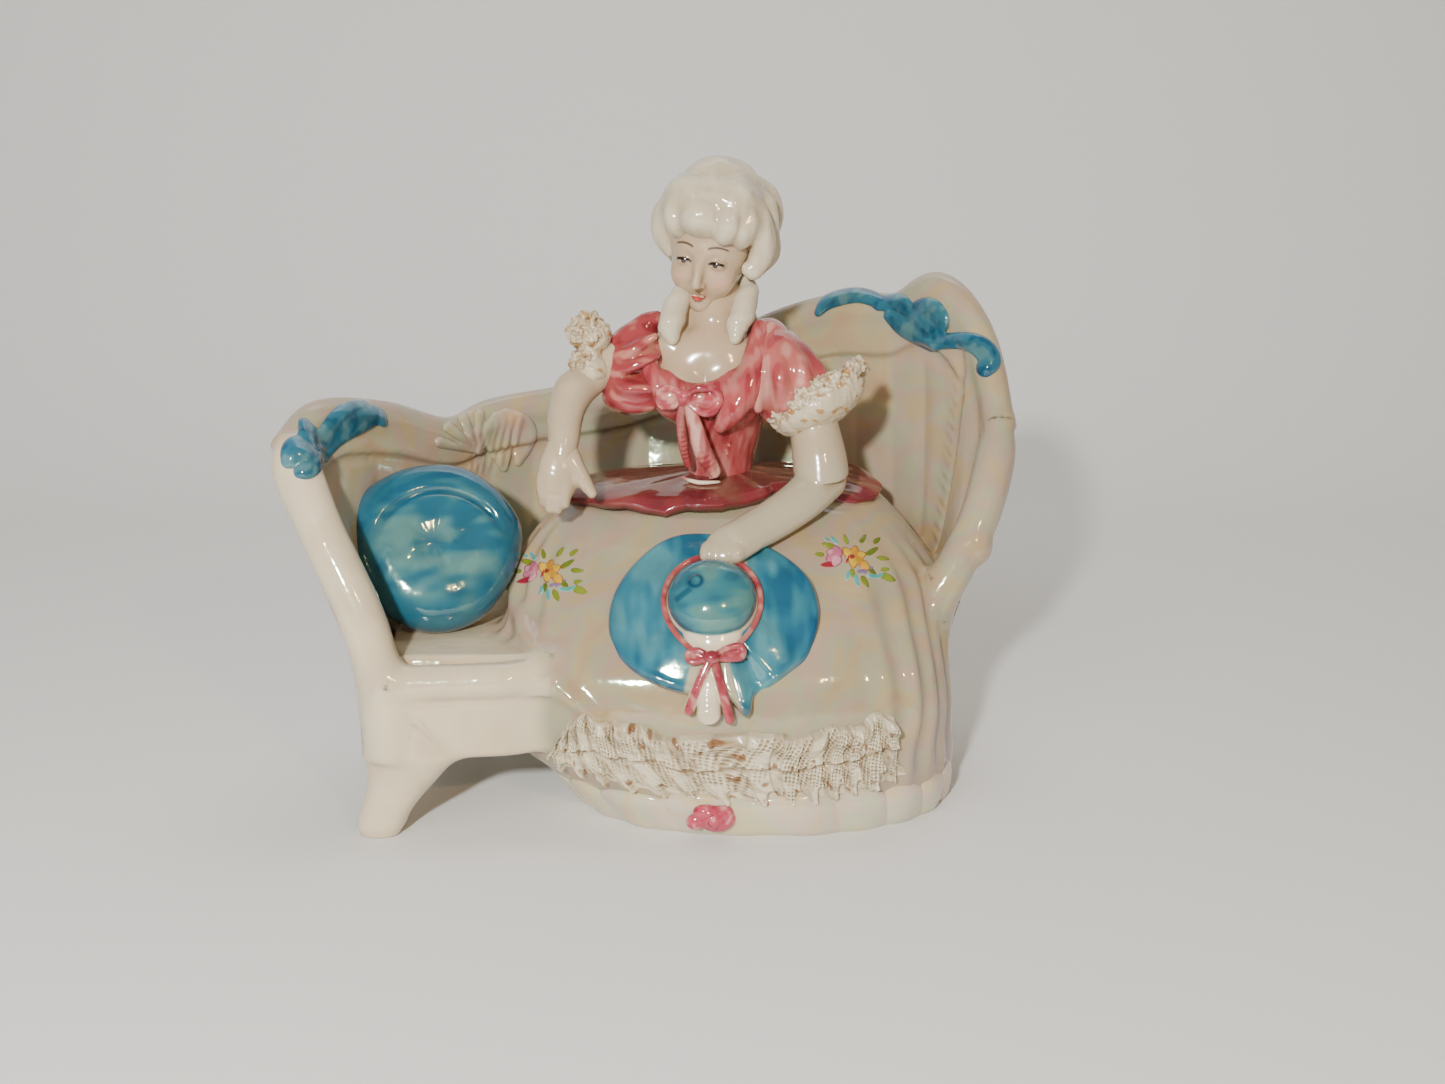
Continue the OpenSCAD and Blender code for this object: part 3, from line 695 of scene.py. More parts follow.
def leg(top, foot, top_r, foot_r, rise=2.0, slim=0.9):
    """Cabriole leg, narrowing to a rounded foot; above the rail's foot it runs on into the post."""
    h = np.linspace(-1, RAIL_FOOT + rise, 40)
    k = np.clip(h / RAIL_FOOT, 0, 1)
    over = np.clip((h - RAIL_FOOT) / 12, 0, 1)
    w = k * k * (3 - 2 * k)
    c = np.array(foot) + (np.array(top) - foot) * w[:, None]
    c[:, 0] += (-49 - top[0]) * over * (rise > 3)
    r = foot_r + (top_r - foot_r) * w * k - 0.9 * (1 - step(h, 0, 2.4)) - 4.4 * over
    a = np.linspace(0, 2 * math.pi, LEG_SIDES, endpoint=False)
    px, py = (np.sign(v) * np.abs(v) ** 0.85 for v in (np.cos(a), np.sin(a)))
    ring = np.stack([c[:, None, 0] + r[:, None] * px,
                     c[:, None, 1] + (0.9 + (slim - 0.9) * k)[:, None] * r[:, None] * py,
                     np.repeat(h[:, None], LEG_SIDES, 1)], -1)
    return body.field(*loft(ring))


parts["front_left_leg"] = leg([-45.8, -35.2], [-52.0, -36.2], 8.4, 4.6, 12, 0.64)
parts["rear_left_leg"] = leg([-46, 6.5], [-50.5, 11.5], 5.5, 3.6)
parts["rear_right_leg"] = leg([47.5, 16], [51.5, 20.5], 5.5, 3.6)
gown = Clay(*BODY_GRID)
gown.d = body.field(*loft(skirt_rings(0, 56.8, 150, 420)))
# The corner of the gown, where it falls from the seat over the rail
corner = ((43, 186), (39.5, 193), (35.4, 213), (31, 230), (27, 241), (23, 250))
gown.add(limb([skirt_point(h, a) for h, a in corner], [0.6, 1.3, 1.5, 1.4, 1.2, 0.5], 24), 2.2)
parts["skirt"] = gown.d

scroll = np.sqrt(((x - 61.4) / 3.3) ** 2 + ((y + 10.2) / 3.6) ** 2 + ((z - 48.4) / 3.8) ** 2) * 3.5 - 3.5
parts["right_post"] = smooth_min(parts["right_post"], scroll.astype(np.float32), 1.2)

blend_size = {"front_left_leg": 4.5, "rear_left_leg": 4.0, "rear_right_leg": 4.0, "front_rail": 3.0,
              "skirt": 3.4, "left_post": 2.0, "right_post": 2.0, "crest_rail": 2.0, "seat_deck": 1.5}
whole = parts["settee_back"].copy()
for name, k in blend_size.items():
    whole = smooth_min(whole, parts[name], k)
whole = np.maximum(whole, -z)
hollow = body.field(*loft(skirt_rings(-3.2, 50, 60, 120, 0.3)))
hollow = np.where(z < 1, hollow[:, :, int(3 / body.voxel):int(3 / body.voxel) + 1], hollow)
whole = np.maximum(whole, -hollow).astype(np.float32)

names = list(parts)
stack = np.stack([parts[n] for n in names])
PEARLY = ("skirt", "settee_back", "crest_rail", "right_post")
pearl_side = np.min([parts[n] for n in names if n not in PEARLY], 0) - np.min([parts[n] for n in PEARLY], 0)
for k, name in enumerate(names):
    rest = np.min(np.delete(stack, k, 0), 0)
    mine = np.maximum(whole, (stack[k] - rest) / 2 - 0.5)
    pearly = name in PEARLY
    points, quads = body.skin(mine)
    points = relax(points, quads, 2)
    points[:, 2] = np.maximum(points[:, 2], 0)
    n = normals(points, quads)
    # Painted shade in the creases and corners where the parts meet, partly glaze pooled there
    shade = 0.65 * creases(body, points, n, 2.0, whole) + 0.35 * creases(body, points, n, 4.0, whole)
    lustre = 0.15 + 0.85 * step(body.at(points, pearl_side), -3.0, 2.0)
    paint = mix(coat(CREAM, points), PEARL, lustre)
    paint = mix(paint, tone("c0ab8c"), 0.3 * step(noise(points, 7, 5), 0, 2))
    paint = paint * (1 - 0.8 * np.clip(shade, 0, 1)[:, None] * (1 - POOLED_GLAZE_AND_SHADE_TINT))
    piece("glazed_" + name, [name], PEARL_GLAZE if pearly else CREAM_GLAZE, points, quads,
          np.concatenate([paint, lustre[:, None]], 1))
del stack, hollow


# The camera's place in mm, for relief laid out as the photograph shows it
EYE = [12, -312.8, 130.3]


def applied(name, node, finish, low, high, lines, colours, rise, ridge, voxel=0.22, blend=0.5, pool_and_shade=0.6):
    """Low relief laid on the settee as seen from the front: (points, radii) lines joined into one outline."""
    clay = Clay(low, high, voxel)
    ticks = [clay.low[i] + clay.voxel * np.arange(clay.size[i]) for i in range(3)]
    grid = np.stack([g.ravel() for g in np.meshgrid(*ticks, indexing="ij")], -1)
    base = body.at(grid, whole)
    ahead = unit((np.array(low) + high) / 2 - EYE)
    flat2 = grid - (grid @ ahead)[:, None] * ahead
    depth = grid @ ahead
    outline, front = np.full(len(grid), FAR), np.full(len(grid), FAR)
    for line, radii in lines:
        t = np.linspace(0, 1, 10 * len(line))
        c, r = curve(line, t), curve(radii, t)
        steps = np.arange(-14, 14, 0.2)
        hits = body.at((c[:, None] + steps[None, :, None] * ahead).reshape(-1, 3), whole).reshape(len(c), -1) < 0
        c = c + steps[np.argmax(hits, 1)][:, None] * ahead
        flat_c = c - (c @ ahead)[:, None] * ahead
        own = np.full(len(grid), FAR)
        for k in range(len(c) - 1):
            run = flat_c[k + 1] - flat_c[k]
            f = np.clip((flat2 - flat_c[k]) @ run / max(run @ run, 1e-9), 0, 1)
            d = np.linalg.norm(flat2 - flat_c[k] - f[:, None] * run, axis=1) - (r[k] + f * (r[k + 1] - r[k]))
            near = d < own
            own = np.where(near, d, own)
            front = np.where(near & (d < outline), (c[k] @ ahead) + f * ((c[k + 1] - c[k]) @ ahead), front)
        outline = smooth_min(outline, own, blend)
    high_side = rise * np.sqrt(np.clip(-outline / ridge, 0, 1)) + 0.15
    d = np.maximum(np.maximum(base - high_side, outline), np.maximum(-base - 1.6, depth - front - 4.0))
    clay.d = d.reshape(clay.size).astype(np.float32)
    clay.soften(1)
    # The relief's creases get painted shade, partly glaze pooled there
    sculpt(name, node, finish, clay, colours, 2, pool_and_shade=pool_and_shade)


# ---------------------------------------------------------------- gown: overskirt, lace, hem and rose


OVERSKIRT_Y, OVERSKIRT_RX, OVERSKIRT_RY = 4.6, 32.6, 18.8
# Angle in degrees, and the share of its full size that the overskirt reaches there
REACH = np.array([
    [0, 0.97], [30, 0.97], [50, 0.98], [200, 1], [232, 0.95], [240, 0.98], [250, 1.01], [257, 0.93], [270, 0.96],
    [277, 0.87], [287, 0.74], [300, 0.61], [312, 0.62], [320, 0.72], [327, 0.83], [334, 0.93], [348, 0.98],
    [360, 0.97]])
# The same, smoother, for the deep colour along its edge
EDGE_REACH = np.array([[0, 0.97], [257, 0.95], [277, 0.87], [300, 0.6], [312, 0.62], [334, 0.93], [360, 0.97]])


def pleated_overskirt():
    """Upper and lower side of the overskirt, from the waist out to its edge."""
    a = np.linspace(0, 360, 541)[:, None]
    s = np.linspace(0.12, 1, 90)[None, :]
    rad = np.radians(a)
    front = step(-np.sin(rad), 0.2, 0.9)
    wave = 1.0 * np.sin(rad * 5 + 0.7) + 0.7 * np.sin(rad * 11 + 2)
    pleat = np.sin(rad * 13 + 3 * np.sin(rad * 3)) * (0.4 + front)
    rx, ry = OVERSKIRT_RX + 0.5 * wave, OVERSKIRT_RY + wave * (0.4 + 0.6 * front)
    reach = np.interp(np.mod(a, 360), *REACH.T)
    rx, ry = rx * reach, ry * reach
    drop = curve([61.6, 61.4, 60.9, 60.4, 60.0, 59.5, 58.8, 57.6, 54.6], s * reach / 1.07)
    drop = drop - 0.9 * step(s, 0.93, 1) * step(0.97 - reach, 0, 0.1)
    x0 = LADY_X + rx * s * np.cos(rad)
    y0 = OVERSKIRT_Y + ry * s * np.sin(rad)
    sway = 2.0 * bump(a, 30, 24) - 1.5 * bump(a, 336, 14)
    z0 = drop + (0.03 + 0.04 * s) * pleat * step(s, 0.15, 0.5) + sway * step(s, 0.55, 0.9)
    top = np.stack([x0, y0, z0], -1)
    under = np.stack([LADY_X + (rx - 0.8) * s * np.cos(rad), OVERSKIRT_Y + (ry - 0.8) * s * np.sin(rad),
                      np.minimum(z0 - 1.0, 58.5) - 0.6 + 0 * a], -1)
    return top, under


top, under = pleated_overskirt()
points, quads = slab(top, under)
# The last column of the grid stands on the first, so the two are welded
m, n = top.shape[:2]
weld = np.arange(len(points))
for j in range(n):
    weld[(m - 1) * n + j] = j
    weld[m * n + (m - 1) * n + j] = m * n + j
quads = weld[quads]
quads = quads[[len(set(q)) == 4 for q in quads.tolist()]]
used, inverse = np.unique(quads, return_inverse=True)
points, quads = points[used], inverse.reshape(quads.shape)
quads = outward_faces(points, quads)


def overskirt_paint(p):
    px, py = (p[:, 0] - LADY_X) / OVERSKIRT_RX, (p[:, 1] - OVERSKIRT_Y) / OVERSKIRT_RY
    a, s = np.arctan2(py, px), np.hypot(px, py)
    fan = np.stack([a * 26, s * 3.2, 0 * a], -1)
    stroke = 0.25 * np.sin(a * 26 + 3 * np.sin(a * 3)) + 1.1 * noise(fan, 2.6, 81) \
        + 0.6 * noise(p, 1.6, 82, (4, 1, 1))
    c = mix(coat(tone("70352f"), p), tone("7e5a46"), 0.6 * step(stroke, 0.1, 1.7))
    c = mix(c, tone("602028"), 0.7 * step(-stroke, 0.2, 1.7))
    out = s / np.interp(np.mod(np.degrees(a), 360), *EDGE_REACH.T) + 0.05 * noise(p, 3, 84)
    c = mix(c, tone("782830"), 0.7 * step(out, 0.84, 0.99))
    worn = step(noise(p, 3, 83, (4, 1, 1)), 0.3, 1.5) * (1 - step(s, 0.7, 0.9))
    return mix(c, tone("785645"), 0.4 * worn)


piece("overskirt", ["peplum"], ROSE_GLAZE, points, quads, overskirt_paint(points))


def on_gown(a, z, height, fold=1.0):
    """Point that stands height mm off the gown at angle a and height z."""
    return skirt_point(z, a, 0, fold) + skirt_normal(z, a) * height[..., None]


def gown_sheet(a, z, height, fold=1.0):
    """Closed mesh of a sheet laid on the gown, its outside height mm off it."""
    a = a + 0 * z
    top, under = on_gown(a, z, height, fold), on_gown(a, z, np.full(height.shape, -1.2), fold)
    for side in (top, under):
        side[..., 2] = np.maximum(side[..., 2], 0)
    points, quads = slab(top, under)
    return points, outward_faces(points, quads)


# The lace's lower edge above the cloth and its breadth, from left to right
LACE_FOOT, LACE_HIGH = [12, 8.6, 6.4, 7, 9.5], [9, 14.5, 13.6, 14, 14]


def lace_band():
    """Angle, height, relief, stain and gold of the pleated lace over a grid; the stain also holds painted shade in
    the holes, in the groove at mid height and between the box pleats.
    """
    u = np.linspace(0, 1, 760)[:, None]
    v = np.linspace(0, 1, 110)[None, :]
    a = 220 + 93.5 * u + 23 * v * (1 - u) ** 5 - 10 * v * u ** 5
    long = 84 * u
    foot, high = curve(LACE_FOOT, u), curve(LACE_HIGH, u)
    lazy = 1.5 * np.sin(long / 9)
    tab = 0.5 + 0.5 * np.cos(2 * math.pi * long / 5.7 + lazy + 0.4)
    foot = foot - 0.6 * tab ** 2 + 0.3
    high = high + 1.0 * tab ** 2 + 0.7 * np.sin(long / 2.3) + 0.2 * np.sin(long / 1.3)
    zz = foot + high * v
    mm = high * v
    pleat = np.sin(2 * math.pi * long / 5.7 + lazy + 0.3 * np.sin(3 * v + long / 7))
    box = step(pleat, -0.55, -0.2)
    lower = 1 - step(v, 0.5, 0.56)
    h = 1.0 + 0.85 * box * (1 - 0.25 * lower) + 0.5 * bump(v, 0.57, 0.03) - 0.55 * bump(v, 0.515, 0.02)
    h = h + (1.3 + 0.5 * np.sin(2 * math.pi * long / 7.3 + 2)) * bump(v, 0.86, 0.1) \
        + 0.45 * np.sin(2 * math.pi * long / 3.7 + 3 * v) * bump(v, 0.9, 0.1)
    q = np.stack([long + 0 * v, mm + 0 * u, 0 * (u + v)], -1)
    skew = long + 0.5 * mm
    net = np.maximum(np.cos(2 * math.pi * skew / 1.12) * np.cos(2 * math.pi * (mm - 0.3 * long) / 1.12), 0) ** 0.7
    patch = step(noise(q, 2.6, 91), -0.9, 0.2)
    hole = net * patch * step(v, 0.06, 0.12) * (1 - step(v, 0.93, 0.97))
    h = h + 0.07 * noise(q, 0.8, 92) + 0.10 * noise(q, 2.4, 93) - 0.9 * hole
    gap = (1 - tab) * (1 - step(v, 0.04, 0.33))
    h = h * (1 - 0.9 * step(gap, 0.25, 0.5))
    edge = step(v, 0, 0.05) * (1 - step(v, 0.955, 1)) * step(u, 0, 0.012) * (1 - step(u, 0.988, 1))
    h = h * edge - 0.5 * (1 - edge)
    # Brown specks, plus painted shade in the holes, in the groove at mid height and on the sunk folds between the
    # box pleats
    stain = np.clip(1.0 * hole * step(noise(q, 3.4, 97), -1.6, 0.2) + 0.5 * step(noise(q, 1.4, 94), 0.8, 1.8)
                    + 0.6 * bump(v, 0.515, 0.025)
                    + 0.5 * (1 - box) * (0.6 + 0.4 * step(noise(q, 4, 95), 0, 1)), 0, 1)
    gold = step(noise(q, 1.1, 96), 1.5, 2.0)
    return a, zz, h, stain, gold


a, zz, h, stain, gold = lace_band()
# Brown over the stain and over the painted shade in the lace's holes, groove and sunk pleats
paint = mix(coat(LACE, stain.reshape(-1)), tone("7d6038"), 0.75 * stain.reshape(-1))
paint = mix(paint, tone("7c4a1a"), 0.8 * gold.reshape(-1))
piece("lace_flounce", ["skirt_lace"], LACE_GLAZE, *gown_sheet(a, zz, h), np.concatenate([paint, paint]))


def hem_lobes():
    """Angle, height and relief of the ruffle at the hem over a grid."""
    u = np.linspace(0, 1, 640)[:, None]
    v = np.linspace(0, 1, 50)[None, :]
    a = 172 + 196 * u
    long = 172 * u
    lobe = np.abs(np.cos(math.pi * long / 15.5 + 0.5 + 0.8 * np.sin(long / 21)))
    high = curve([5, 7.5, 8.6, 8, 6.5], u) * (0.86 + 0.16 * lobe ** 0.7)
    zz = high * v
    h = curve([0.8, 1.9, 2.2, 1.9, 0.9], u) * (0.72 + 0.28 * lobe ** 0.8) \
        * np.sqrt(np.clip(1 - (v - 0.1) ** 2 / 0.8, 0, 1))
    h = h * (1 - 0.25 * bump(v, 0.0, 0.12)) + 0.12 * np.sin(long / 2.1) * (1 - v)
    end = step(u, 0, 0.05) * (1 - step(u, 0.86, 1)) * (1 - step(v, 0.94, 1))
    return a, zz, h * end - 0.4 * (1 - end)


points, quads = gown_sheet(*hem_lobes(), 0.3)
piece("hem_flounce", ["hem_ruffle"], (CREAM_GLAZE[0], PEARL_GLAZE[1]), points, quads,
      mix(coat(PEARL, points), CREAM, 0.4))

rose = Clay([4, -47, -1], [17, -34, 11], 0.14)
centre = np.array([10, -39.6, 4.3])
for c, r in (([0.9, 0, -0.1], [3.5, 1.6, 2.6]), ([-2.9, 0.2, -0.8], [1.9, 1.2, 1.6]),
             ([-1.2, 0.1, 1.2], [2.3, 1.4, 1.5]), ([2.3, 0.1, 1.1], [1.8, 1.3, 1.4]),
             ([0.2, -0.8, 0.1], [1.9, 1.4, 1.7])):
    rose.add([egg(centre + c, r)], 0.3)
swirl = [centre + [0.16 * t * math.cos(t), -2.0 + 0.07 * t, 0.16 * t * math.sin(t)]
         for t in np.linspace(1, 11, 26)]
rose.cut([rod(swirl[k], swirl[k + 1], 0.16, 0.16) for k in range(25)], 0.25)
rose.d = np.maximum(rose.d, -(rose.axes()[2] - 0.05))
rose.soften(1)
sculpt("rose_on_hem", "hem_rose", ROSE_GLAZE, rose,
       brushed("b8455a d08a8c 8f2038", 1.6, 101, -0.2), 1)

# ---------------------------------------------------------------- cushion

CUSHION_AT, CUSHION_TURN = np.array([-44.3, -11, 48.4]), turn(0, 0, 14) @ turn(61, 0, 0)
CUSHION_R = 16.6


def cushion_mesh():
    """The cushion in its own frame: rounds of points from its under side to its top."""
    a = np.linspace(0, 2 * math.pi, 241)[:-1][:, None]
    b = np.linspace(-math.pi / 2, math.pi / 2, 121)[None, 1:-1]
    e = 0.9
    out = np.cos(b) ** 0.5
    around = np.degrees(a) % 360
    rim = CUSHION_R * (1 + 0.012 * np.sin(5 * a + 1) - 0.10 * bump(around, 212, 30) + 0.04 * bump(around, 268, 14)
                  + 0.04 * bump(around, 6, 16) + 0.04 * bump(around, 366, 16) - 0.05 * bump(around, 318, 24))
    px = rim * out * np.sign(np.cos(a)) * np.abs(np.cos(a)) ** e
    py = rim * out * np.sign(np.sin(a)) * np.abs(np.sin(a)) ** e
    rho = np.hypot(px, py) / CUSHION_R
    up = (np.sin(b) > 0)
    dent = 2.0 * bump(rho, 0, 0.13) + 0.35 * bump(np.abs(np.sin(2.5 * a)), 0, 0.5) * bump(rho, 0.25, 0.16)
    crease = np.hypot(px - 1.0, py + 2.6)
    crescent = 0.9 * bump(crease, 12.6, 0.8) * step(py, 0, 6)
    pz = 5.7 * np.sin(b) - np.where(up, dent + crescent, 0) + 0.25 * np.sin(3 * a) * rho
    return np.stack([px, py, pz], -1)


cushion_local, quads, tris = loft(np.swapaxes(cushion_mesh(), 0, 1))
points = cushion_local @ CUSHION_TURN.T + CUSHION_AT
quads, tris = outward_loft(points, quads, tris)
px, py = cushion_local[:, 0], cushion_local[:, 1]
rho = np.hypot(px, py) / CUSHION_R
s = noise(cushion_local, 4.2, 111, (1.8, 1, 1)) + 0.5 * noise(cushion_local, 1.3, 112, (3, 1, 1))
inner = 1 - step(rho + 0.05 * noise(cushion_local, 5, 113), 0.62, 0.86)
paint = mix(coat(tone("276272"), points), tone("5c857e"), 0.75 * inner * step(s, -1.2, 1.2))
paint = mix(paint, tone("1b4e66"), np.clip(0.6 * step(-s, 0.1, 1.6) + 0.45 * (1 - inner), 0, 1))
# Painted shade along the crescent crease
paint = mix(paint, tone("174a60"), 0.8 * bump(np.hypot(px - 1.0, py + 2.6), 12.4, 0.8) * step(py, 0, 6))
# Painted shade in the dent at the tuft in the middle
paint = mix(paint, tone("174a66"), 0.8 * bump(rho, 0, 0.09))
piece("round_cushion", ["cushion"], BLUE_GLAZE, points, quads, paint, tris)

# ---------------------------------------------------------------- hat

HAT_AT, HAT_TURN = np.array([10.4, -28.4, 39.6]), turn(49, 0, 0)


def on_hat(shapes):
    return placed(shapes, HAT_AT, HAT_TURN)


def hat_frame(p):
    return (p - HAT_AT) @ HAT_TURN


def brim_mesh():
    """Upper and lower side of the brim in the hat's frame."""
    a = np.linspace(0, 360, 361)[:-1][:, None]
    s = np.linspace(0.02, 1, 60)[None, :]
    rad = np.radians(a)
    deep = np.where(np.sin(rad) < 0, 15.6, 17.6)
    edge = 1 / np.sqrt((np.cos(rad) / 19.6) ** 2 + (np.sin(rad) / deep) ** 2)
    edge = edge + 3.9 * bump(a, 288, 5.5) - 1.0 * bump(a, 270, 7) + 0.5 * bump(a, 334, 8) + 0.25 * np.sin(4 * rad)
    wave = 0.55 * np.sin(3 * rad + 1) + 0.35 * np.sin(7 * rad)
    fall = 2.6 - 3.3 * s ** 2 + wave * s ** 2
    lip = 0.35 * bump(s, 0.96, 0.04) - 0.5 * step(s, 0.97, 1)
    crease = 0.25 * bump(a, 196, 7) + 0.5 * bump(a, 12, 8) + 0.8 * bump(a, 302, 6) - 0.5 * bump(a, 312, 6)
    px, py = edge * s * np.cos(rad), edge * s * np.sin(rad)
    top = np.stack([px, py, fall + 1.0 + lip - crease * s], -1)
    under = np.stack([px, py, fall - 0.9 + 0 * a], -1)
    return top, under


top, under = brim_mesh()
hat_local, quads, tris = loft(np.swapaxes(np.concatenate([top, under[:, ::-1]], 1), 0, 1))
points = hat_local @ HAT_TURN.T + HAT_AT
quads, tris = outward_loft(points, quads, tris)


def brim_paint(q):
    r = np.hypot(q[:, 0], q[:, 1])
    s = noise(q, 4.6, 121, (1, 1.8, 1)) + 0.5 * noise(q, 1.4, 122, (1, 2.5, 1))
    c = mix(coat(tone("2e6c7e"), q), tone("4c838c"), step(s, -0.3, 1.4) * 0.8)
    c = mix(c, tone("184c6a"), np.clip(0.75 * step(-s, 0.1, 1.6) + 0.5 * step(r, 17.2, 19.2), 0, 1))
    # Paler strip along the brim's lower-right edge, by its fold: a painted highlight
    c = mix(c, tone("7f9f94"), 0.6 * bump(q[:, 0] - 11 - 0.9 * (q[:, 1] + 13), 1.5, 1.2) * step(-q[:, 1], 8, 11))
    left = np.interp(-q[:, 1], [8, 10, 16], [-4.4, -4.2, -5.6])
    right = np.interp(-q[:, 1], [8, 11, 18.5], [2.4, 2.9, 5.2])
    tape = step(q[:, 0] - left, -0.4, 0.4) * (1 - step(q[:, 0] - right, -0.4, 0.4)) * step(-q[:, 1], 5, 6)
    gap = step(q[:, 0], np.interp(q[:, 1], [8, 18], [-2.6, -0.4]), np.interp(q[:, 1], [8, 18], [-1.8, 0.4])) \
        * (1 - step(q[:, 0], 5.6, 6.6)) * step(q[:, 1], 6, 7)
    return mix(c, PEARL, np.clip(tape + gap, 0, 1))


piece("hat_brim_disc", ["hat_brim"], BLUE_GLAZE, points, quads, brim_paint(hat_local), tris)

crown = Clay([-2, -46, 28], [23, -16, 60], 0.18)
crown.add(on_hat([egg([-0.3, 2.0, 2.9], [8.5, 8.3, 3.0]), egg([-0.2, -3.6, 2.6], [5.6, 5.6, 2.7])]), 1.5)
crown.add(on_hat([egg([-0.35, 2.0, 4.4], [8.1, 7.7, 4.6])]), 0.4)
crown.add(on_hat([egg([-3.3, 3.6, 8.3], [1.25, 1.25, 0.6])]), 0.3)
crown.cut(on_hat([egg([-3.3, 3.6, 9.2], [0.7, 0.7, 0.5])]), 0.2)


def crown_paint(p, n):
    q = hat_frame(p)
    s = noise(q, 4.0, 131) + 0.5 * noise(q, 1.3, 132, (2.5, 1, 1))
    c = mix(coat(tone("35707c"), p), tone("55807a"), step(s, -0.4, 1.4) * 0.8)
    c = mix(c, tone("1e5266"), 0.6 * step(-s, 0.3, 1.7))
    ring = np.hypot(q[:, 0] + 3.3, q[:, 1] - 3.6)
    c = mix(c, tone("103a55"), 0.95 * bump(ring, 1.15, 0.42))
    along = (q[:, 0] + 7.2) * 0.85 + (q[:, 1] - 0.2) * 0.53
    across = np.abs((q[:, 0] + 7.2) * -0.53 + (q[:, 1] - 0.2) * 0.85)
    slit = (1 - step(across, 0.3, 0.9)) * step(along, 0, 0.5) * (1 - step(along, 3.2, 4.0))
    c = mix(c, tone("17475f"), 0.85 * slit)
    dome = np.hypot((q[:, 0] + 0.35) / 8.15, (q[:, 1] - 2.0) / 7.75)
    return mix(c, CREAM, np.clip(step(dome, 0.985, 1.03) + (q[:, 2] < 3.7) * (q[:, 1] < 3), 0, 1))


sculpt("hat_dome", "hat_crown", BLUE_GLAZE, crown, crown_paint, 2)

band = Clay([-4, -48, 26], [25, -14, 62], 0.18)
a = np.linspace(0, 2 * math.pi, 49)
px = -0.3 + 9.0 * np.cos(a) * (1 - 0.28 * np.maximum(-np.sin(a), 0) ** 2)
py = 2.0 + np.where(np.sin(a) > 0, 8.9, 11.4) * np.sin(a)
loop = np.stack([px, py, 3.5 + 0.2 * np.sin(a)], -1)
band.add(on_hat([rod(loop[k], loop[k + 1], 0.55, 0.55) for k in range(48)]))
sculpt("hat_ribbon_band", "hat_band", ROSE_GLAZE, band,
       brushed("a04e4c b3786c 832c36", 2.2, 141), 2)

bow = Clay([-3, -45, 22], [21, -28, 44], 0.14)
bow.add(on_hat(limb([[-0.6, -9.6, 4.4], [-2.8, -8.4, 4.5], [-4.6, -8.8, 4.0], [-4.0, -10.4, 3.8],
                     [-0.6, -9.9, 4.2]], [0.5, 0.6, 0.65, 0.6, 0.5], 20)), 0.3)
bow.add(on_hat(limb([[-0.2, -9.6, 4.4], [2.2, -8.2, 4.7], [4.9, -7.6, 4.3], [4.7, -9.6, 3.9], [-0.2, -9.9, 4.2]],
                    [0.5, 0.65, 0.75, 0.7, 0.5], 20)), 0.3)
bow.add(on_hat([egg([-2.9, -9.4, 3.7], [1.8, 1.1, 0.6]), egg([2.9, -8.8, 3.9], [2.2, 1.2, 0.6]),
                egg([-0.4, -9.8, 4.7], [1.4, 1.3, 1.1])]), 0.3)
sculpt("hat_ribbon_bow", "hat_bow", ROSE_GLAZE, bow,
       brushed("a44650 bd7c76 842034", 1.6, 143, -0.1), 1)

ends = Clay([-6, -49, 14], [22, -32, 38], 0.14)
for line, radii, steps, flat, k in (
        ([[-1.0, -10.4, 3.8], [-2.6, -13.8, 2.2], [-4.5, -18.2, -0.2]], [0.7, 1.0, 1.0], 14, 0.75, 0.0),
        ([[0.2, -10.4, 3.8], [1.5, -14.8, 1.9], [2.9, -19.8, -0.8]], [0.7, 0.85, 0.85], 14, 0.75, 0.2),
        ([[-0.6, -10.6, 2.6], [-0.8, -14.8, 1.2], [-0.9, -18.6, -0.6]], [1.6, 2.0, 2.2], 10, 0.4, 0.3)):
    ends.add(on_hat(limb(line, radii, steps, flat, [0, 0, 1])), k)


def ends_paint(p, n):
    q = hat_frame(p)
    c = brushed("a64850 bf807a 8c2c3a", 1.6, 151)(p, n)
    side = np.minimum(np.abs(q[:, 0] - np.interp(-q[:, 1], [10.4, 13.8, 18.2], [-1.0, -2.6, -4.5])),
                      np.abs(q[:, 0] - np.interp(-q[:, 1], [10.4, 14.8, 19.8], [0.2, 1.5, 2.9])))
    return mix(c, CREAM, step(side, 0.75, 1.0))


sculpt("hat_ribbon_ends", "hat_streamers", ROSE_GLAZE, ends, ends_paint, 1)

# ---------------------------------------------------------------- crest ornaments

bluish = brushed("2e6a80 54848e 174a68", 2.6, 161, -0.1)


def curled(p, n):
    """The right ribbon's blue, with painted shade in the eye of its curl and in its fold."""
    c = mix(bluish(p, n), tone("12486e"), 0.8 * bump(np.hypot(p[:, 0] - 64.6, p[:, 2] - 80.4), 0, 1.3))
    fold = bump(np.abs((p[:, 0] - 57.4) * 0.8 + (p[:, 2] - 85.6) * 0.6), 0, 0.45)
    return mix(c, tone("12486e"), 0.7 * fold * bump(p[:, 0], 57.2, 1.6))


applied("painted_ribbon_left", "left_crest_ribbon", BLUE_GLAZE, [-76, -32, 58], [-46, 10, 84], [
    ([[-68.6, -20, 67.6], [-67.0, -20, 69.6], [-64.6, -20, 69.0]], [1.4, 2.7, 2.4]),
    ([[-66.6, -20, 65.6], [-65.0, -20, 66.4], [-63.0, -20, 68.0]], [1.2, 2.0, 1.6]),
    ([[-65.8, -19, 74.6], [-64.8, -19, 72.0], [-63.6, -19, 70.0]], [1.0, 1.9, 1.2]),
    ([[-63.2, -18, 68.6], [-61.4, -15, 71.8], [-59.8, -11, 74.4], [-57.2, -8, 75.6]], [1.8, 2.6, 2.4, 1.6]),
    ([[-61.0, -14, 71.6], [-58.0, -9, 73.4], [-55.4, -5, 73.2], [-54.0, -4, 71.4]], [2.4, 3.0, 1.9, 0.7])],
    bluish, 1.3, 2.4, pool_and_shade=0.75)
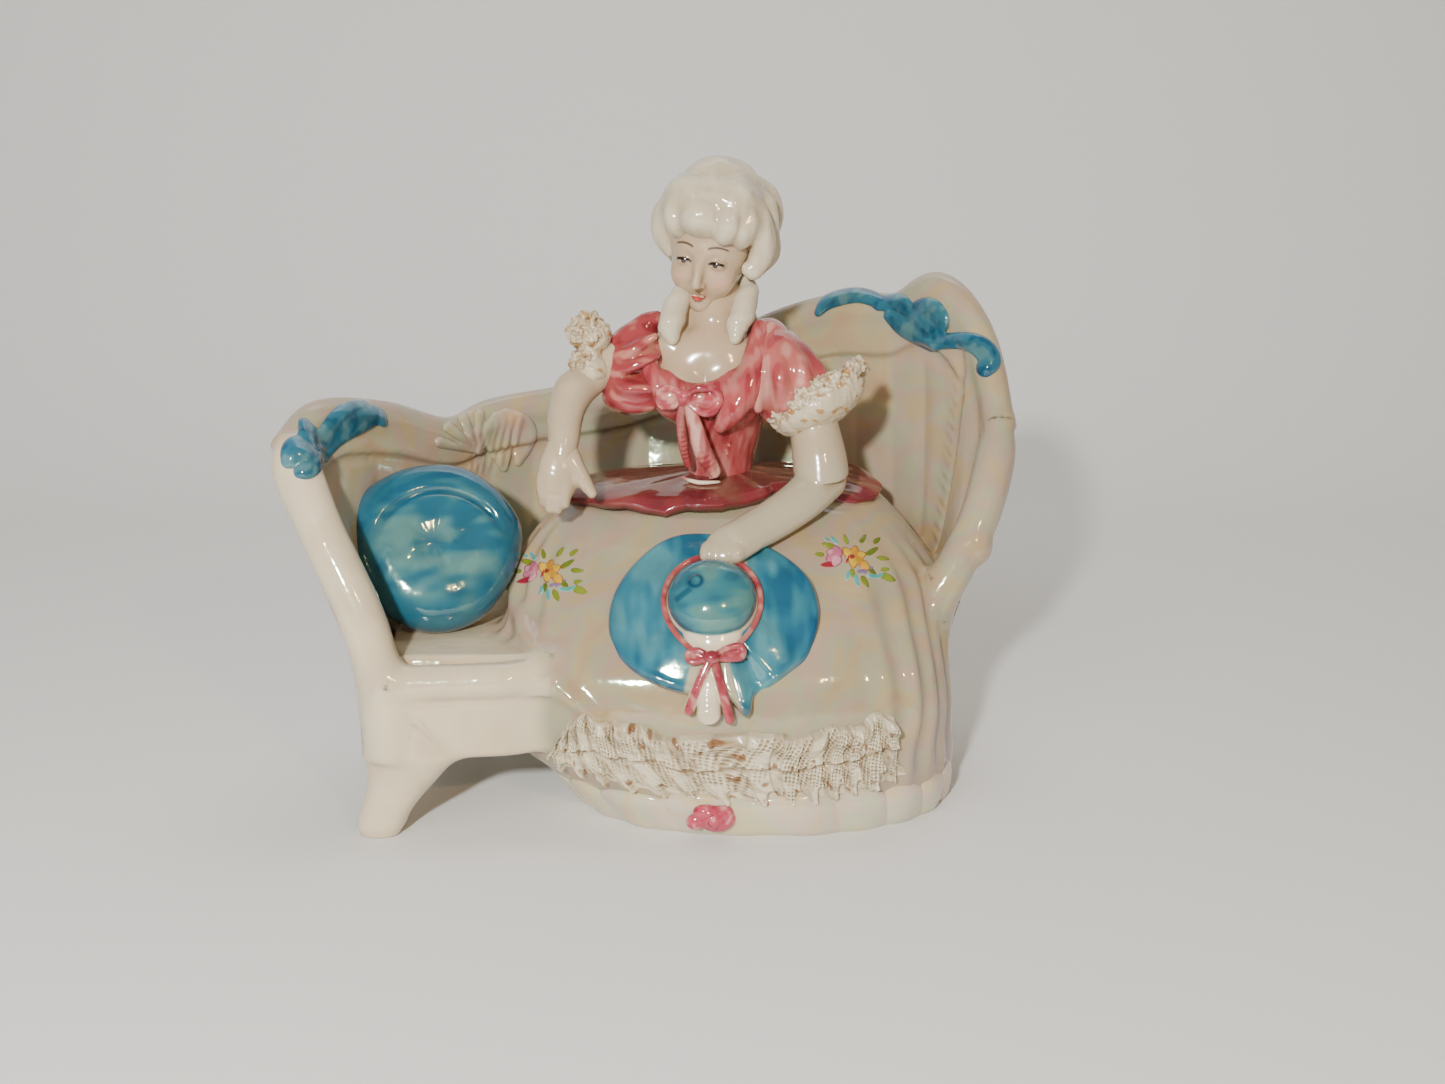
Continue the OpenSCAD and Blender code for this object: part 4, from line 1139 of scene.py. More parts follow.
applied("painted_ribbon_right", "right_crest_ribbon", BLUE_GLAZE, [24, -4, 72], [76, 42, 104], [
    ([[32.6, 33, 88.6], [35.0, 33, 91.2], [40.6, 31, 93.0], [45.2, 28, 91.6]], [0.9, 1.8, 2.1, 1.5]),
    ([[45.0, 27, 91.2], [48.6, 25, 91.9], [50.6, 24, 90.4]], [1.5, 2.0, 1.6]),
    ([[47.0, 26, 88.8], [50.4, 24, 86.4], [55.6, 20, 83.6]], [1.2, 2.0, 1.6]),
    ([[54.4, 22, 89.0], [54.9, 22, 88.2]], [4.1, 4.1]),
    ([[57.0, 20, 84.2], [60.6, 16, 85.0], [63.6, 12, 84.6], [65.6, 8, 82.6], [64.6, 8, 80.6]],
     [1.6, 1.8, 2.2, 2.4, 1.8])], curled, 1.3, 2.4, pool_and_shade=0.75)

ribs = [([[-38.5, 14, 62.0], [-38.5 + 8.4 * math.sin(v), 16, 61.0 + 8.8 * math.cos(v)]], [0.5, 1.25])
        for v in (math.radians(d) for d in (-72, -48, -24, 0, 24))]
leaf = [([[-33.6, 18, 69.6], [-34.6, 16, 65.4], [-33.4, 14, 58.6]], [1.0, 3.4, 1.0]),
        ([[-33.0, 18, 69.8], [-29.6, 18, 65.6], [-30.6, 16, 59.4]], [1.0, 3.0, 1.0])]
applied("carved_fan", "crest_shell", PEARL_GLAZE, [-52, 2, 50], [-22, 34, 78], ribs + leaf,
        lambda p, n: mix(coat(PEARL, p), tone("c9a58f"), 0.5 * bump(p[:, 0], -31, 3)),
        0.7, 1.0, 0.25, 0.25)

# ---------------------------------------------------------------- painted flower sprays

gown = bpy.data.objects["glazed_skirt"]
gown_tree = BVHTree.FromPolygons([v.co / MM for v in gown.data.vertices],
                                 [tuple(f.vertices) for f in gown.data.polygons])


def spray(name, centre, seed):
    """Small bunch of flowers in thin raised enamel on the gown."""
    rng = np.random.default_rng(seed)
    up = np.array([0.0, 0.35, 0.94])
    right = np.array([1.0, 0.0, 0.0])
    out = np.array([0.0, -0.94, 0.35])
    strokes = []

    def dab(px, py, length, width, angle, colour, level=0.05, tint=None):
        strokes.append((1.15 * px, 1.15 * py, 1.2 * length, 1.25 * width, angle, colour, level, tint))

    leaf, olive, teal, lilac = tone("748020"), tone("5c6818"), tone("4b968f"), tone("75627f")
    for px, py, length, width, angle in (
            (3.8, 1.6, 2.6, 0.9, 32), (5.6, 0.4, 2.2, 0.8, -6), (2.4, 3.8, 1.9, 0.8, 55),
            (-0.6, 3.6, 1.8, 0.7, 105), (4.8, 3.6, 1.7, 0.8, 40), (-3.6, 2.4, 2.3, 0.9, 165),
            (-5.2, 0.8, 1.5, 0.7, 175), (3.4, -1.8, 2.0, 0.9, -40),
            (6.2, -3.0, 2.6, 1.2, -22), (2.2, -3.8, 2.2, 0.9, -62), (0.2, -2.4, 1.6, 0.8, -80),
            (5.8, -1.6, 1.4, 0.8, 10)):
        dab(px, py, length, width, angle, leaf if rng.random() > 0.45 else olive, 0.05, olive)
    for px, py, length, width, angle in (
            (0.8, -3.6, 2.4, 0.8, -75), (-0.6, -2.8, 1.8, 0.7, -110), (3.8, -2.8, 2.4, 0.7, -8),
            (-2.6, 3.4, 2.0, 0.7, 130), (4.9, -2.6, 1.6, 0.7, 20), (-3.9, 3.5, 1.2, 0.5, 150)):
        dab(px, py, length, width, angle, teal, 0.05, tone("93bdb2"))
    for px, py in ((2.4, -2.0), (3.3, -1.4), (1.5, -2.0)):
        dab(px, py, 1.1, 0.6, 20, lilac)
    dab(-3.7, -0.9, 3.0, 1.0, -172, tone("86202f"), 0.06, tone("b04a50"))
    for k, a in enumerate((150, 195, 240, 110)):
        dab(-1.9 + 1.2 * math.cos(math.radians(a)), 0.5 + 0.9 * math.sin(math.radians(a)), 2.3, 1.7, a,
            tone("b4647a") if k % 2 else tone("c28692"), 0.07 + 0.004 * k, tone("86203c"))
    for k, a in enumerate((20, 75, 130, 320, 270)):
        dab(0.4 + 1.3 * math.cos(math.radians(a)), 0.5 + 0.9 * math.sin(math.radians(a)), 2.3, 1.5, a,
            tone("b9821c") if k % 2 else tone("c8a02c"), 0.10 + 0.004 * k, tone("84201a"))
    dab(2.4, -1.0, 1.9, 1.5, -40, tone("c2942a"), 0.12, tone("8c2222"))
    dab(0.3, 0.5, 1.1, 0.9, 0, tone("8c2a26"), 0.16)
    dab(-0.5, 0.1, 1.6, 0.35, 70, tone("8c2a26"), 0.16)

    points, quads, tris, paint = [], [], [], []
    for px, py, length, width, angle, colour, level, tint in strokes:
        a = math.radians(angle)
        base = len(points)
        shades, rows = [], []
        for s in (1.0, 0.72, 0.0):
            around = 14 if s else 1
            for k in range(around):
                t = 2 * math.pi * k / around
                lx, ly = s * math.cos(t) * length / 2, s * math.sin(t) * width / 2 * (1 - 0.25 * math.cos(t))
                wx = px + lx * math.cos(a) - ly * math.sin(a)
                wy = py + lx * math.sin(a) + ly * math.cos(a)
                start = centre + wx * right + wy * up + out * 14
                hit, normal, _, _ = gown_tree.ray_cast(Vector(start), Vector(-out))
                if hit is None:
                    hit, normal, _, _ = gown_tree.find_nearest(Vector(start - out * 14))
                rows.append((np.array(hit), np.array(normal)))
                shades.append(colour if tint is None or s < 0.9 else tint)
        for (hit, normal), s in zip(rows, [0.3] * 14 + [1.0] * 15):
            points.append(hit + normal * level * s)
            paint.append(shades[len(points) - 1 - base])
        for hit, normal in rows[:14]:
            points.append(hit - normal * 0.08)
            paint.append(colour)
        points.append(rows[28][0] - normal * 0.08)
        paint.append(colour)
        for k in range(14):
            j = (k + 1) % 14
            quads.append((base + k, base + j, base + 14 + j, base + 14 + k))
            tris.append((base + 14 + k, base + 14 + j, base + 28))
            quads.append((base + 29 + k, base + 29 + j, base + j, base + k))
            tris.append((base + 29 + j, base + 29 + k, base + 43))
    piece(name, [], ENAMEL, np.array(points), np.array(quads), np.array(paint), np.array(tris))


ENAMEL = ("glaze_lustre", glaze("enamel_paint", 0.12, 0.0, 0.16, 0.15, 0.5, 0.0, 400.0))
spray("flower_spray_left", np.array([-22.2, -20, 46]), 171)
spray("flower_spray_right", np.array([36.5, -20, 48.7]), 173)

# ---------------------------------------------------------------- lady: head and hair

HEAD_AT, HEAD_TURN = np.array([10, 4, 105.5]), turn(14, 8, -14)


def on_head(shapes):
    return placed(shapes, HEAD_AT, HEAD_TURN)


def head_frame(p):
    return (p - HEAD_AT) @ HEAD_TURN


head = Clay([-4, -10, 89], [25, 17, 120], 0.16)
head.add(on_head([egg([0, 0.8, 2.5], [8.5, 9.2, 9.4])]))
head.add(on_head([egg([0, -2.3, -3.2], [6.5, 6.4, 8.4])]), 3.0)
head.add(on_head([egg([0, -6.1, -10.0], [2.2, 1.9, 1.9])]), 2.4)
head.add(on_head([egg([s * 3.3, -5.9, -4.7], [2.8, 2.3, 2.9]) for s in (-1, 1)]), 2.0)
head.cut(on_head([egg([s * 3.25, -10.2, -0.8], [2.1, 2.0, 1.5]) for s in (-1, 1)]), 1.4)
head.add(on_head([egg([s * 3.2, -7.3, -1.1], [1.75, 1.5, 1.3]) for s in (-1, 1)]), 0.5)
head.add(on_head([rod([0, -8.2, 0.4], [0, -10.2, -4.9], 0.6, 0.95)]), 1.3)
head.add(on_head([egg([s * 0.95, -9.2, -5.2], [0.65, 0.7, 0.55]) for s in (-1, 1)]), 0.5)
head.add(on_head([egg([s * 0.6, -8.75, -7.55], [0.95, 0.62, 0.36]) for s in (-1, 1)]), 0.35)
head.add(on_head([egg([0, -8.65, -8.25], [1.0, 0.62, 0.45])]), 0.35)
head.soften(1)


def face_paint(p, n):
    q = head_frame(p)
    qx, qy, qz = q[:, 0], q[:, 1], q[:, 2]
    front = step(-qy, 4.5, 6)
    c = coat(SKIN, p)
    side = np.abs(qx)
    blush = bump(side, 4.2, 1.9) * bump(qz, -4.6, 1.9) * front
    c = mix(c, tone("d0907a"), 0.35 * blush)
    eye = (side - 3.2) / 1.5
    lid = -1.0 + 0.42 * (1 - eye ** 2)
    lash = (1 - step(np.abs(qz - lid), 0.2, 0.36)) * (1 - step(np.abs(eye), 0.95, 1.12)) * front
    iris = (1 - step(np.hypot(side - 3.15, (qz + 1.0) * 1.1), 0.45, 0.62)) * (qz < lid) * front
    fold = (1 - step(np.abs(qz - lid - 0.6), 0.04, 0.2)) * (1 - step(np.abs(eye), 0.8, 1.1)) * front
    arc = (side - 3.3) / 2.0
    high = 1.75 + 0.6 * (1 - arc ** 2) - 0.2 * arc
    brow = (1 - step(np.abs(qz - high), 0.1, 0.32 - 0.06 * arc)) * (1 - step(np.abs(arc), 0.8, 1.05)) * front
    c = mix(c, tone("a98468"), 0.4 * fold)
    c = mix(c, tone("44281c"), 0.95 * brow)
    c = mix(c, tone("33211a"), iris)
    c = mix(c, BLACK, lash)
    mouth, wide = qz + 7.9, np.clip(1 - (qx / 1.5) ** 2, 0, 1)
    upper = 0.5 * wide ** 0.8 * (1 - 0.35 * bump(qx, 0, 0.3))
    lips = step(mouth, -0.62 * wide ** 0.7 - 0.12, -0.62 * wide ** 0.7) * (1 - step(mouth, upper, upper + 0.12)) \
        * (np.abs(qx) < 1.5) * front
    c = mix(c, tone("b8352c"), 0.95 * lips)
    c = mix(c, tone("7d1f22"), 0.6 * (1 - step(np.abs(mouth - 0.03), 0.03, 0.13)) * lips)
    nostril = bump(side, 0.75, 0.3) * bump(qz, -5.75, 0.25) * front
    return mix(c, tone("a8705c"), 0.5 * nostril)


sculpt("painted_head", "head", SKIN_GLAZE, head, face_paint, 2)

hair = Clay([-6, -11, 90], [27, 20, 123], 0.2)
hair.add(on_head([egg([0.2, 3.0, 5.4], [10.1, 9.4, 10.8]), egg([0, 8, -4], [7.4, 5.6, 7])]), 2.0)
hair.cut(on_head([egg([0, -11.5, -6.0], [7.4, 9.0, 10.0])]), 0.5)
hair.add(on_head([egg([-3.2, -2.4, 9.6], [6.0, 6.0, 4.8], turn(0, -20, 0)),
                  egg([3.8, -2.2, 9.6], [6.2, 6.2, 4.9], turn(0, 20, 0)),
                  egg([-0.4, 1.0, 11.4], [5.6, 6.4, 4.6])]), 1.6)
locks = [
    ([[-7.0, -3.2, 9.8], [-9.0, -2.6, 5.4], [-9.1, -2.4, 1.0], [-7.8, -3.2, -1.8]], [1.8, 2.5, 2.3, 1.2]),
    ([[-8.0, 2.0, 8], [-9.3, 2.6, 0], [-7.9, 3.0, -4.8]], [2.4, 2.5, 1.6]),
    ([[7.8, -3.2, 9.8], [10.0, -2.2, 5.4], [10.4, -2.2, 1.0], [9.6, -2.8, -2.0]], [1.8, 2.5, 2.4, 1.6]),
    ([[10.2, -2.4, -0.8], [9.9, -3.4, -2.6], [8.5, -3.8, -2.4]], [1.8, 1.6, 1.2]),
    ([[9.0, 3.0, 8], [10.2, 3.2, 0], [8.8, 3.4, -4.8]], [2.4, 2.6, 1.7]),
    ([[-3, 6, 11.0], [-6.6, 7.5, 9], [-8.6, 8, 4], [-7, 9, -5]], [2.0, 2.8, 3, 2]),
    ([[3, 6, 11.0], [6.8, 7.5, 9], [8.8, 8, 4], [7, 9, -5]], [2.0, 2.8, 3, 2]),
    ([[0, 7, 11.4], [0, 10.4, 8.4], [0, 11.6, 3], [0, 10.6, -6]], [2.4, 3.2, 3.2, 2.4]),
]
for line, radii in locks:
    hair.add(on_head(limb(line, radii, 14)), 1.1)
# Soft rolls over the forehead and waves swept back from them
for c, r, lean in (([-5.6, -5.6, 6.2], [2.7, 3.3, 3.9], -22), ([-0.6, -7.2, 7.4], [4.6, 3.3, 4.0], 0),
                   ([4.6, -6.8, 6.8], [2.7, 3.3, 4.2], 12), ([7.6, -5.0, 5.8], [2.4, 3.2, 4.2], 22)):
    hair.add(on_head([egg(c, r, turn(0, lean, 0))]), 0.9)
for line in ([[0.4, -6.6, 11.6], [-4.2, -6.4, 10.8], [-7.6, -4.6, 7.4], [-8.8, -3.8, 3.0]],
             [[0.8, -4.2, 13.4], [-4.6, -4.4, 12.4], [-8.2, -2.4, 8.6], [-9.8, -1.4, 4.0]],
             [[1.2, -6.6, 11.6], [5.2, -6.4, 10.8], [8.6, -4.6, 7.4], [9.8, -3.6, 3.0]],
             [[1.0, -4.2, 13.4], [5.6, -4.2, 12.4], [9.2, -2.2, 8.6], [10.9, -1.2, 4.0]]):
    hair.add(on_head(limb(line, [0.8, 1.5, 1.6, 0.8], 16)), 0.8)
hair.soften(2)


def strands(p, n):
    q = head_frame(p)
    return 0.02 * noise(q, 1.3, 11, (0.7, 1.2, 1.6)) + 0.12 * noise(q, 3.4, 12)


def wig_paint(p, n):
    s = noise(head_frame(p), 2.6, 13, (0.6, 1.2, 1.8))
    return mix(coat(WHITE, p), tone("b9ae98"), 0.4 * step(-s, 0.0, 1.8))


# The hair's creases get strong painted shade, which marks its waves
sculpt("dressed_wig", "hair", WHITE_GLAZE, hair, wig_paint, 2, relief=strands, pool_and_shade=0.9)


def ringlet(name, node, line, radii, low, high):
    clay = Clay(low, high, 0.18)
    clay.add(limb(line, radii, 12))
    t = np.linspace(0, 1, 30)
    c, r, d = curve(line, t), curve(radii, t), slope(line, t)
    s = unit(np.cross([0.0, 1.0, 0.0], d))
    u = np.cross(d, s)
    a = 2.6 * 2 * math.pi * t
    helix = c + 0.55 * r[:, None] * (np.cos(a)[:, None] * s + np.sin(a)[:, None] * u)
    clay.add([rod(helix[k], helix[k + 1], 0.46 * r[k], 0.46 * r[k + 1]) for k in range(29)], 1.0)
    sculpt(name, node, WHITE_GLAZE, clay, wig_paint, 2)


ringlet("ringlet_left", "left_ringlet", [[4.6, 2.4, 98], [3.7, 0.6, 95.4], [2.5, -1.2, 92.6], [1.9, -2.6, 90],
        [2.2, -3.2, 87.8]], [1.4, 2.1, 2.4, 2.2, 1.1], [-4, -9, 84], [9, 8, 103])
ringlet("ringlet_right", "right_ringlet", [[16.8, 4.5, 98.6], [16.9, 3, 96], [16.1, 0.2, 93], [15.0, -2.0, 90.4],
        [14.3, -3.2, 88]], [1.4, 2.1, 2.4, 2.1, 1.1], [10, -9, 84], [23, 10, 103])

# ---------------------------------------------------------------- lady: bust, bodice and sleeves

# Height, half width, half depth and middle of the torso
TORSO = np.array([[58, 6.6, 5.6, 3.2], [61, 6.6, 5.4, 3], [65, 7.2, 6.0, 2.6], [70, 8.6, 7.0, 1.6],
                  [75, 9.8, 7.8, 1.2], [80, 10, 7.4, 2.2], [84, 9.6, 6, 3.2], [87, 6, 4.6, 4]])


TORSO_SIDES = 64


def torso_rings(grow):
    """Sections of the torso, grown by grow mm."""
    t = np.linspace(0, 1, 40)
    row = curve(TORSO, t)
    a = np.linspace(0, 2 * math.pi, TORSO_SIDES, endpoint=False)
    z, wide, deep, middle = (row[:, i:i + 1] for i in range(4))
    return np.stack([LADY_X - 0.4 + (wide + grow) * np.cos(a),
                     middle + (deep + grow) * np.sin(a) + 0.12 * wide * np.cos(a),
                     np.repeat(z, TORSO_SIDES, 1)], -1)


chest = Clay([-10, -13, 57], [33, 14, 103], 0.25)
chest.d = chest.field(*loft(torso_rings(-1.0)))
bust = [egg([3.6, -2.2, 78.4], [4.8, 4.8, 4.8]), egg([13.8, -2.6, 78.0], [5.2, 4.4, 5.0])]
chest.add(bust, 3.0)
chest.add([egg([-1.8, 3, 85], [4.6, 4, 3.4]), egg([21.6, 2.6, 84.2], [4.4, 3.8, 3.2]),
           egg([10.8, 1.6, 84.6], [11, 5.4, 4.2])], 3.0)
chest.add([egg([8, -0.2, 82.6], [8.8, 3.6, 6.4]), egg([1.6, 1.6, 86], [5.4, 4.4, 4.2])], 3.0)
chest.add(limb([[2.4, 3.2, 88.5], [4.6, 3.8, 93], [7.4, 4.2, 96.5]], [2.4, 2.3, 2.2], 8), 2.0)
chest.add(limb([[17.4, 4.2, 88.5], [15.6, 4.4, 93], [13.2, 4.4, 96.5]], [2.4, 2.3, 2.2], 8), 2.0)
chest.add(limb([[11, 4.4, 82], [10.8, 4.2, 88], [10.2, 3.6, 93], [9.8, 4, 99]], [6.8, 4.8, 4.3, 4.1], 14), 3.2)
chest.soften(2)
sculpt("bust_and_neck", "neck_and_chest", SKIN_GLAZE, chest,
       lambda p, n: mix(coat(SKIN, p), tone("c8a285"), 0.3 * step(noise(p, 4, 21), 0, 2)))

bodice = Clay([-8, -14, 57], [31, 14, 92], 0.22)
bodice.d = bodice.field(*loft(torso_rings(-0.1)))
bodice.add([egg([3.4, -2.4, 77.4], [5.6, 5.6, 5.6]), egg([14.0, -3.2, 76.8], [6.0, 5.6, 5.8])], 2.4)
bodice.add(limb([[19.6, -0.4, 89.4], [18.6, -4.2, 84.6], [16.8, -7.0, 79], [13.8, -8.4, 74.4], [11.4, -8.0, 71.6]],
                [2.0, 2.7, 2.8, 2.3, 1.2], 18), 1.6)
bodice.add(limb([[-3.0, 0.6, 88.6], [-2.6, -2.6, 84], [-0.8, -5.4, 79]], [1.6, 2.0, 1.6], 10), 1.4)
bodice.cut([egg([7.7, -6, 91.2], [9.0, 13, 11.4], turn(0, 4, 0))], 0.5)
bodice.cut([egg([8.0, 0, 95], [9.4, 16, 6.0])], 1.0)
TRIM = limb([[4.2, -4.6, 60.8], [7.4, -6.2, 60.2], [11.4, -6.4, 60.4]], [0.35, 0.5, 0.35], 10)
bodice.add(TRIM)
bodice.soften(1)
rosy = brushed("a84e4e b4706a 8c2c34", 1.8, 31, grain=(1, 1, 5))


def bodice_paint(p, n):
    trim = bump(p[:, 2], 60.5, 0.5) * bump(p[:, 0], 7.8, 3.4) * step(-p[:, 1], 5.0, 5.8)
    return mix(rosy(p, n), CREAM, np.clip(trim * 1.6, 0, 1))


sculpt("gown_bodice", "bodice", ROSE_GLAZE, bodice, bodice_paint, 1)

bow = Clay([-4, -14, 69], [16, -2, 83], 0.14)
KNOT = np.array([4.9, -9.2, 77.4])


def drawn_in(line):
    """The line, made smaller about the bow's knot."""
    return (np.array(line) - KNOT) * 0.84 + KNOT


bow.add(limb(drawn_in([[4.6, -9.2, 77.6], [2.6, -9.4, 79.3], [-0.6, -7.8, 79.4], [-1.2, -7.2, 77],
                       [-0.4, -7.6, 75.2], [2.4, -9.0, 75.6], [4.6, -9.2, 77.4]]),
             [0.5, 0.6, 0.65, 0.65, 0.65, 0.6, 0.5], 26))
bow.add([egg([2.2, -7.9, 77.3], [2.4, 1.2, 1.6])], 0.6)
bow.add(limb(drawn_in([[4.8, -9.2, 77.6], [7.6, -10.2, 79.8], [11.2, -9.8, 79.6], [12.6, -9.0, 77],
                       [10.8, -9.8, 74.2], [7.4, -10.0, 74.8], [4.8, -9.2, 77.2]]),
             [0.5, 0.7, 0.8, 0.8, 0.8, 0.7, 0.5], 28))
bow.add([egg([8.3, -8.7, 77.0], [2.8, 1.1, 1.9])], 0.6)
bow.add([egg([4.7, -9.2, 77.5], [1.5, 1.4, 1.7])], 0.4)
bow.soften(1)


def bow_paint(p, n):
    c = brushed("b04e56 cc8a82 8f2838", 2.0, 41)(p, n)
    # Deep colour in the middle of the right loop: painted shade in its hollow
    pool_and_shade = bump(np.hypot(p[:, 0] - 8.5, (p[:, 2] - 77.0) * 1.2), 0, 1.4) * step(p[:, 1], -10.0, -9.0)
    return mix(c, tone("a8283e"), 0.85 * np.clip(pool_and_shade * 1.5, 0, 1))


sculpt("bow_on_bodice", "bodice_bow", ROSE_GLAZE, bow, bow_paint, 1)

tails = Clay([-2, -13, 58], [16, 0, 79], 0.16)
tails.add(limb([[4.2, -9.0, 76.6], [4.0, -8.6, 73], [4.4, -7.6, 68], [5.2, -6.4, 64.0]],
               [0.6, 1.0, 1.0, 0.8], 16, 0.35, [0.1, -1, 0.1]))
tails.add(limb([[5.2, -9.2, 76.6], [6.6, -9.6, 72.6], [8.0, -9.0, 67.4], [10.2, -7.4, 62.8]],
               [0.8, 1.5, 1.8, 1.5], 16, 0.6, [-0.2, -1, 0.1]), 0.3)
tails.soften(1)


def tails_paint(p, n):
    c = brushed("b0605c cc9c8c 8a2a34", 1.6, 43, 0.2, grain=(1, 1, 4))(p, n)
    # The left tail painted deeper: painted shade where it lies behind the right one
    left = 1 - step(p[:, 0] - np.interp(-p[:, 2], [-76, -63], [4.8, 7.2]), -0.6, 0.6)
    return mix(c, tone("8c2430"), 0.7 * left)


sculpt("bow_tails", "bow_streamers", ROSE_GLAZE, tails, tails_paint, 1)

left_sleeve = Clay([-16, -9, 68], [7, 11, 95], 0.22)
left_sleeve.add([egg([-4.0, 1.2, 84.6], [6.6, 5.4, 5.8], turn(0, 26, 0))])
left_sleeve.add([egg([-5.2, -0.8, 77.2], [6.6, 5.8, 4.5], turn(0, -8, 0))], 0.8)
left_sleeve.add([egg([-8.4, 0.2, 81.8], [3.4, 4.6, 5.8])], 1.5)
left_sleeve.add(limb([[-7, 0.6, 85], [-3.4, 0.2, 89.6], [-0.8, 0.4, 91.8]], [2.4, 2.6, 1.2], 10), 1.5)
for line in ([[-10.4, -1.5, 83], [-6, -4.4, 85.6], [-1, -3.6, 88.6]],
             [[-10.4, -2, 81.4], [-6, -5.4, 82.6], [-0.6, -5.0, 85]],
             [[-10.6, -2, 80.2], [-6.6, -6.0, 78.8], [-1.4, -6.0, 78.6]],
             [[-10.2, -2, 79.4], [-6.8, -5.4, 75.4], [-1.6, -5.2, 75.0]]):
    left_sleeve.add(limb(line, [0.4, 1.0, 0.6], 12), 1.8)
left_sleeve.soften(1)
sculpt("puffed_sleeve_left", "left_sleeve", ROSE_GLAZE, left_sleeve,
       brushed("9c3e42 bd7468 7c1f2a", 2.2, 51, -0.1, grain=(2.6, 1, 1)), 1)

right_sleeve = Clay([13, -12, 66], [38, 11, 94], 0.22)
right_sleeve.add([egg([21.0, 1.6, 86.0], [4.6, 5.0, 5.4]), egg([23.4, 2.4, 83.4], [5.4, 5.0, 5.8]),
                  egg([24.4, -1.4, 79.0], [7.6, 7.4, 10.6], turn(0, -22, 0))], 2.5)
for line in ([[18.8, 0, 89], [18.4, -7.0, 82], [18.8, -7.4, 75]],
             [[21.0, -1, 89.6], [22.8, -8.8, 82], [23.4, -8.0, 76]],
             [[22.6, -1, 89], [27.2, -7.6, 82.4], [28.2, -6.6, 77]],
             [[24.0, 0, 88], [30.4, -4.6, 82.4], [31.6, -4.0, 79]]):
    right_sleeve.add(limb(line, [0.4, 1.1, 0.8], 14), 2.2)
right_sleeve.cut([egg([22, -2, 66.2], [12, 12, 4.4])], 1.0)
right_sleeve.soften(1)
sculpt("puffed_sleeve_right", "right_sleeve", ROSE_GLAZE, right_sleeve,
       brushed("b2605a c4867c 983a42", 3.0, 53, 0.1, grain=(1, 1, 4)), 1)


def lace_puffs(name, node, clay, ring, seed, centre, side):
    """Slip-dipped frill: a ring of puffs full of small fired-out holes, touched with gold."""
    rng = np.random.default_rng(seed)

    def open_side(p):
        return (p - centre) @ np.array(side) > 0

    def roughness(p, n):
        return (0.03 + 0.12 * open_side(p)) * (noise(p, 0.6, seed + 1) + noise(p, 1.3, seed + 2))

    for c, r, spin in ring:
        clay.add([egg(c, r, spin)], 0.7)
    points = clay.skin()[0]
    holes = points[rng.integers(0, len(points), 150)]
    holes = holes[open_side(holes)][:90]
    big = rng.random(len(holes)) > 0.85
    clay.cut([egg(h, 0.62 if b else 0.36) for h, b in zip(holes, big)], 0.15)

    def colours(p, n):
        c = mix(coat(LACE, p), tone("a8987c"), 0.25 + 0.2 * step(noise(p, 2.0, seed + 4), 0, 1.4))
        # Brown round each hole: painted shade in the hole, with brown stain
        near = np.full(len(p), 9.0)
        for h in holes:
            near = np.minimum(near, np.linalg.norm(p - h, axis=1))
        c = mix(c, tone("a58a5e"), 0.7 * (1 - step(near, 0.2, 0.6)))
        gold = step(noise(p, 1.3, seed + 3), 0.9, 1.6)
        c = mix(c, tone("a8762c"), 0.8 * gold)
        stain = step(noise(p, 0.7, seed + 5), 0.9, 1.7) * open_side(p)
        return mix(c, tone("77451f"), 0.6 * stain)

    sculpt(name, node, LACE_GLAZE, clay, colours, 1, relief=roughness)


left_cuff = Clay([-22, -11, 73], [-4, 10, 98], 0.18)
ring = [([-13.4, -1.6, 88.6], [4.0, 4.6, 3.6], turn(0, 20, 0)),
        ([-13.2, -2.0, 82.0], [3.6, 4.8, 3.4], turn(0, -15, 0)), ([-12.4, 2.6, 85.4], [3.2, 3.4, 4.6], None)]
for k in range(5):
    a = math.radians(70 + 34 * k)
    ring.append(([-13.9 + 3.1 * math.cos(a), -2.4, 89.4 + 2.7 * math.sin(a)], [1.1, 2.6, 1.1], None))
    ring.append(([-13.6 + 3.3 * math.cos(a), -3.0, 82.8 + 2.6 * math.sin(a)], [1.1, 2.6, 1.1], None))
lace_puffs("cuff_frill_left", "left_lace_cuff", left_cuff, ring, 61, np.array([-12.6, -2, 85.4]), (-0.8, 0, 0.45))

right_cuff = Clay([18, -15, 64], [46, 9, 89], 0.18)
tilt = turn(0, -31, 0) @ turn(-24, 0, 0)
ring = [([30.8, -5.0, 75.6], [9.8, 6.4, 4.7], tilt)]
for k in range(17):
    a = 2 * math.pi * k / 17
    local = np.array([9.5 * math.cos(a) - 0.3, 5.2 * math.sin(a), 0.5 * math.cos(3 * a) + 1.6])
    ring.append((np.array([31.6, -4.6, 76.4]) + tilt @ local, [1.6, 1.5, 1.8], tilt))
lace_puffs("cuff_frill_right", "right_lace_cuff", right_cuff, ring, 67, np.array([30.2, -5, 74.6]), tilt[:, 2])

# ---------------------------------------------------------------- lady: arms and hands

def flesh(pearl):
    """Skin colour, with a share of pearl over it."""
    def colours(p, n):
        skin = mix(coat(SKIN, p), tone("dcb79c"), 0.25 * step(noise(p, 3, 71), 0, 2))
        return mix(skin, PEARL, pearl(p) if callable(pearl) else pearl)
    return colours


arm = Clay([-26, -17, 62], [-5, 6, 90], 0.22)
arm.add(limb([[-9, -0.8, 84.0], [-13.0, -2.0, 81.0], [-17.0, -5.0, 77.6]], [3.2, 3.7, 3.5], 10))
arm.add(limb([[-16.8, -5.4, 78.4], [-18.2, -8.4, 73.6], [-18.4, -11, 69.4], [-18.7, -12.4, 67.0]],
             [3.5, 3.4, 3.0, 2.5], 12), 1.6)
arm.soften(1)
sculpt("arm_left", "left_arm", SKIN_GLAZE, arm, flesh(0.4))

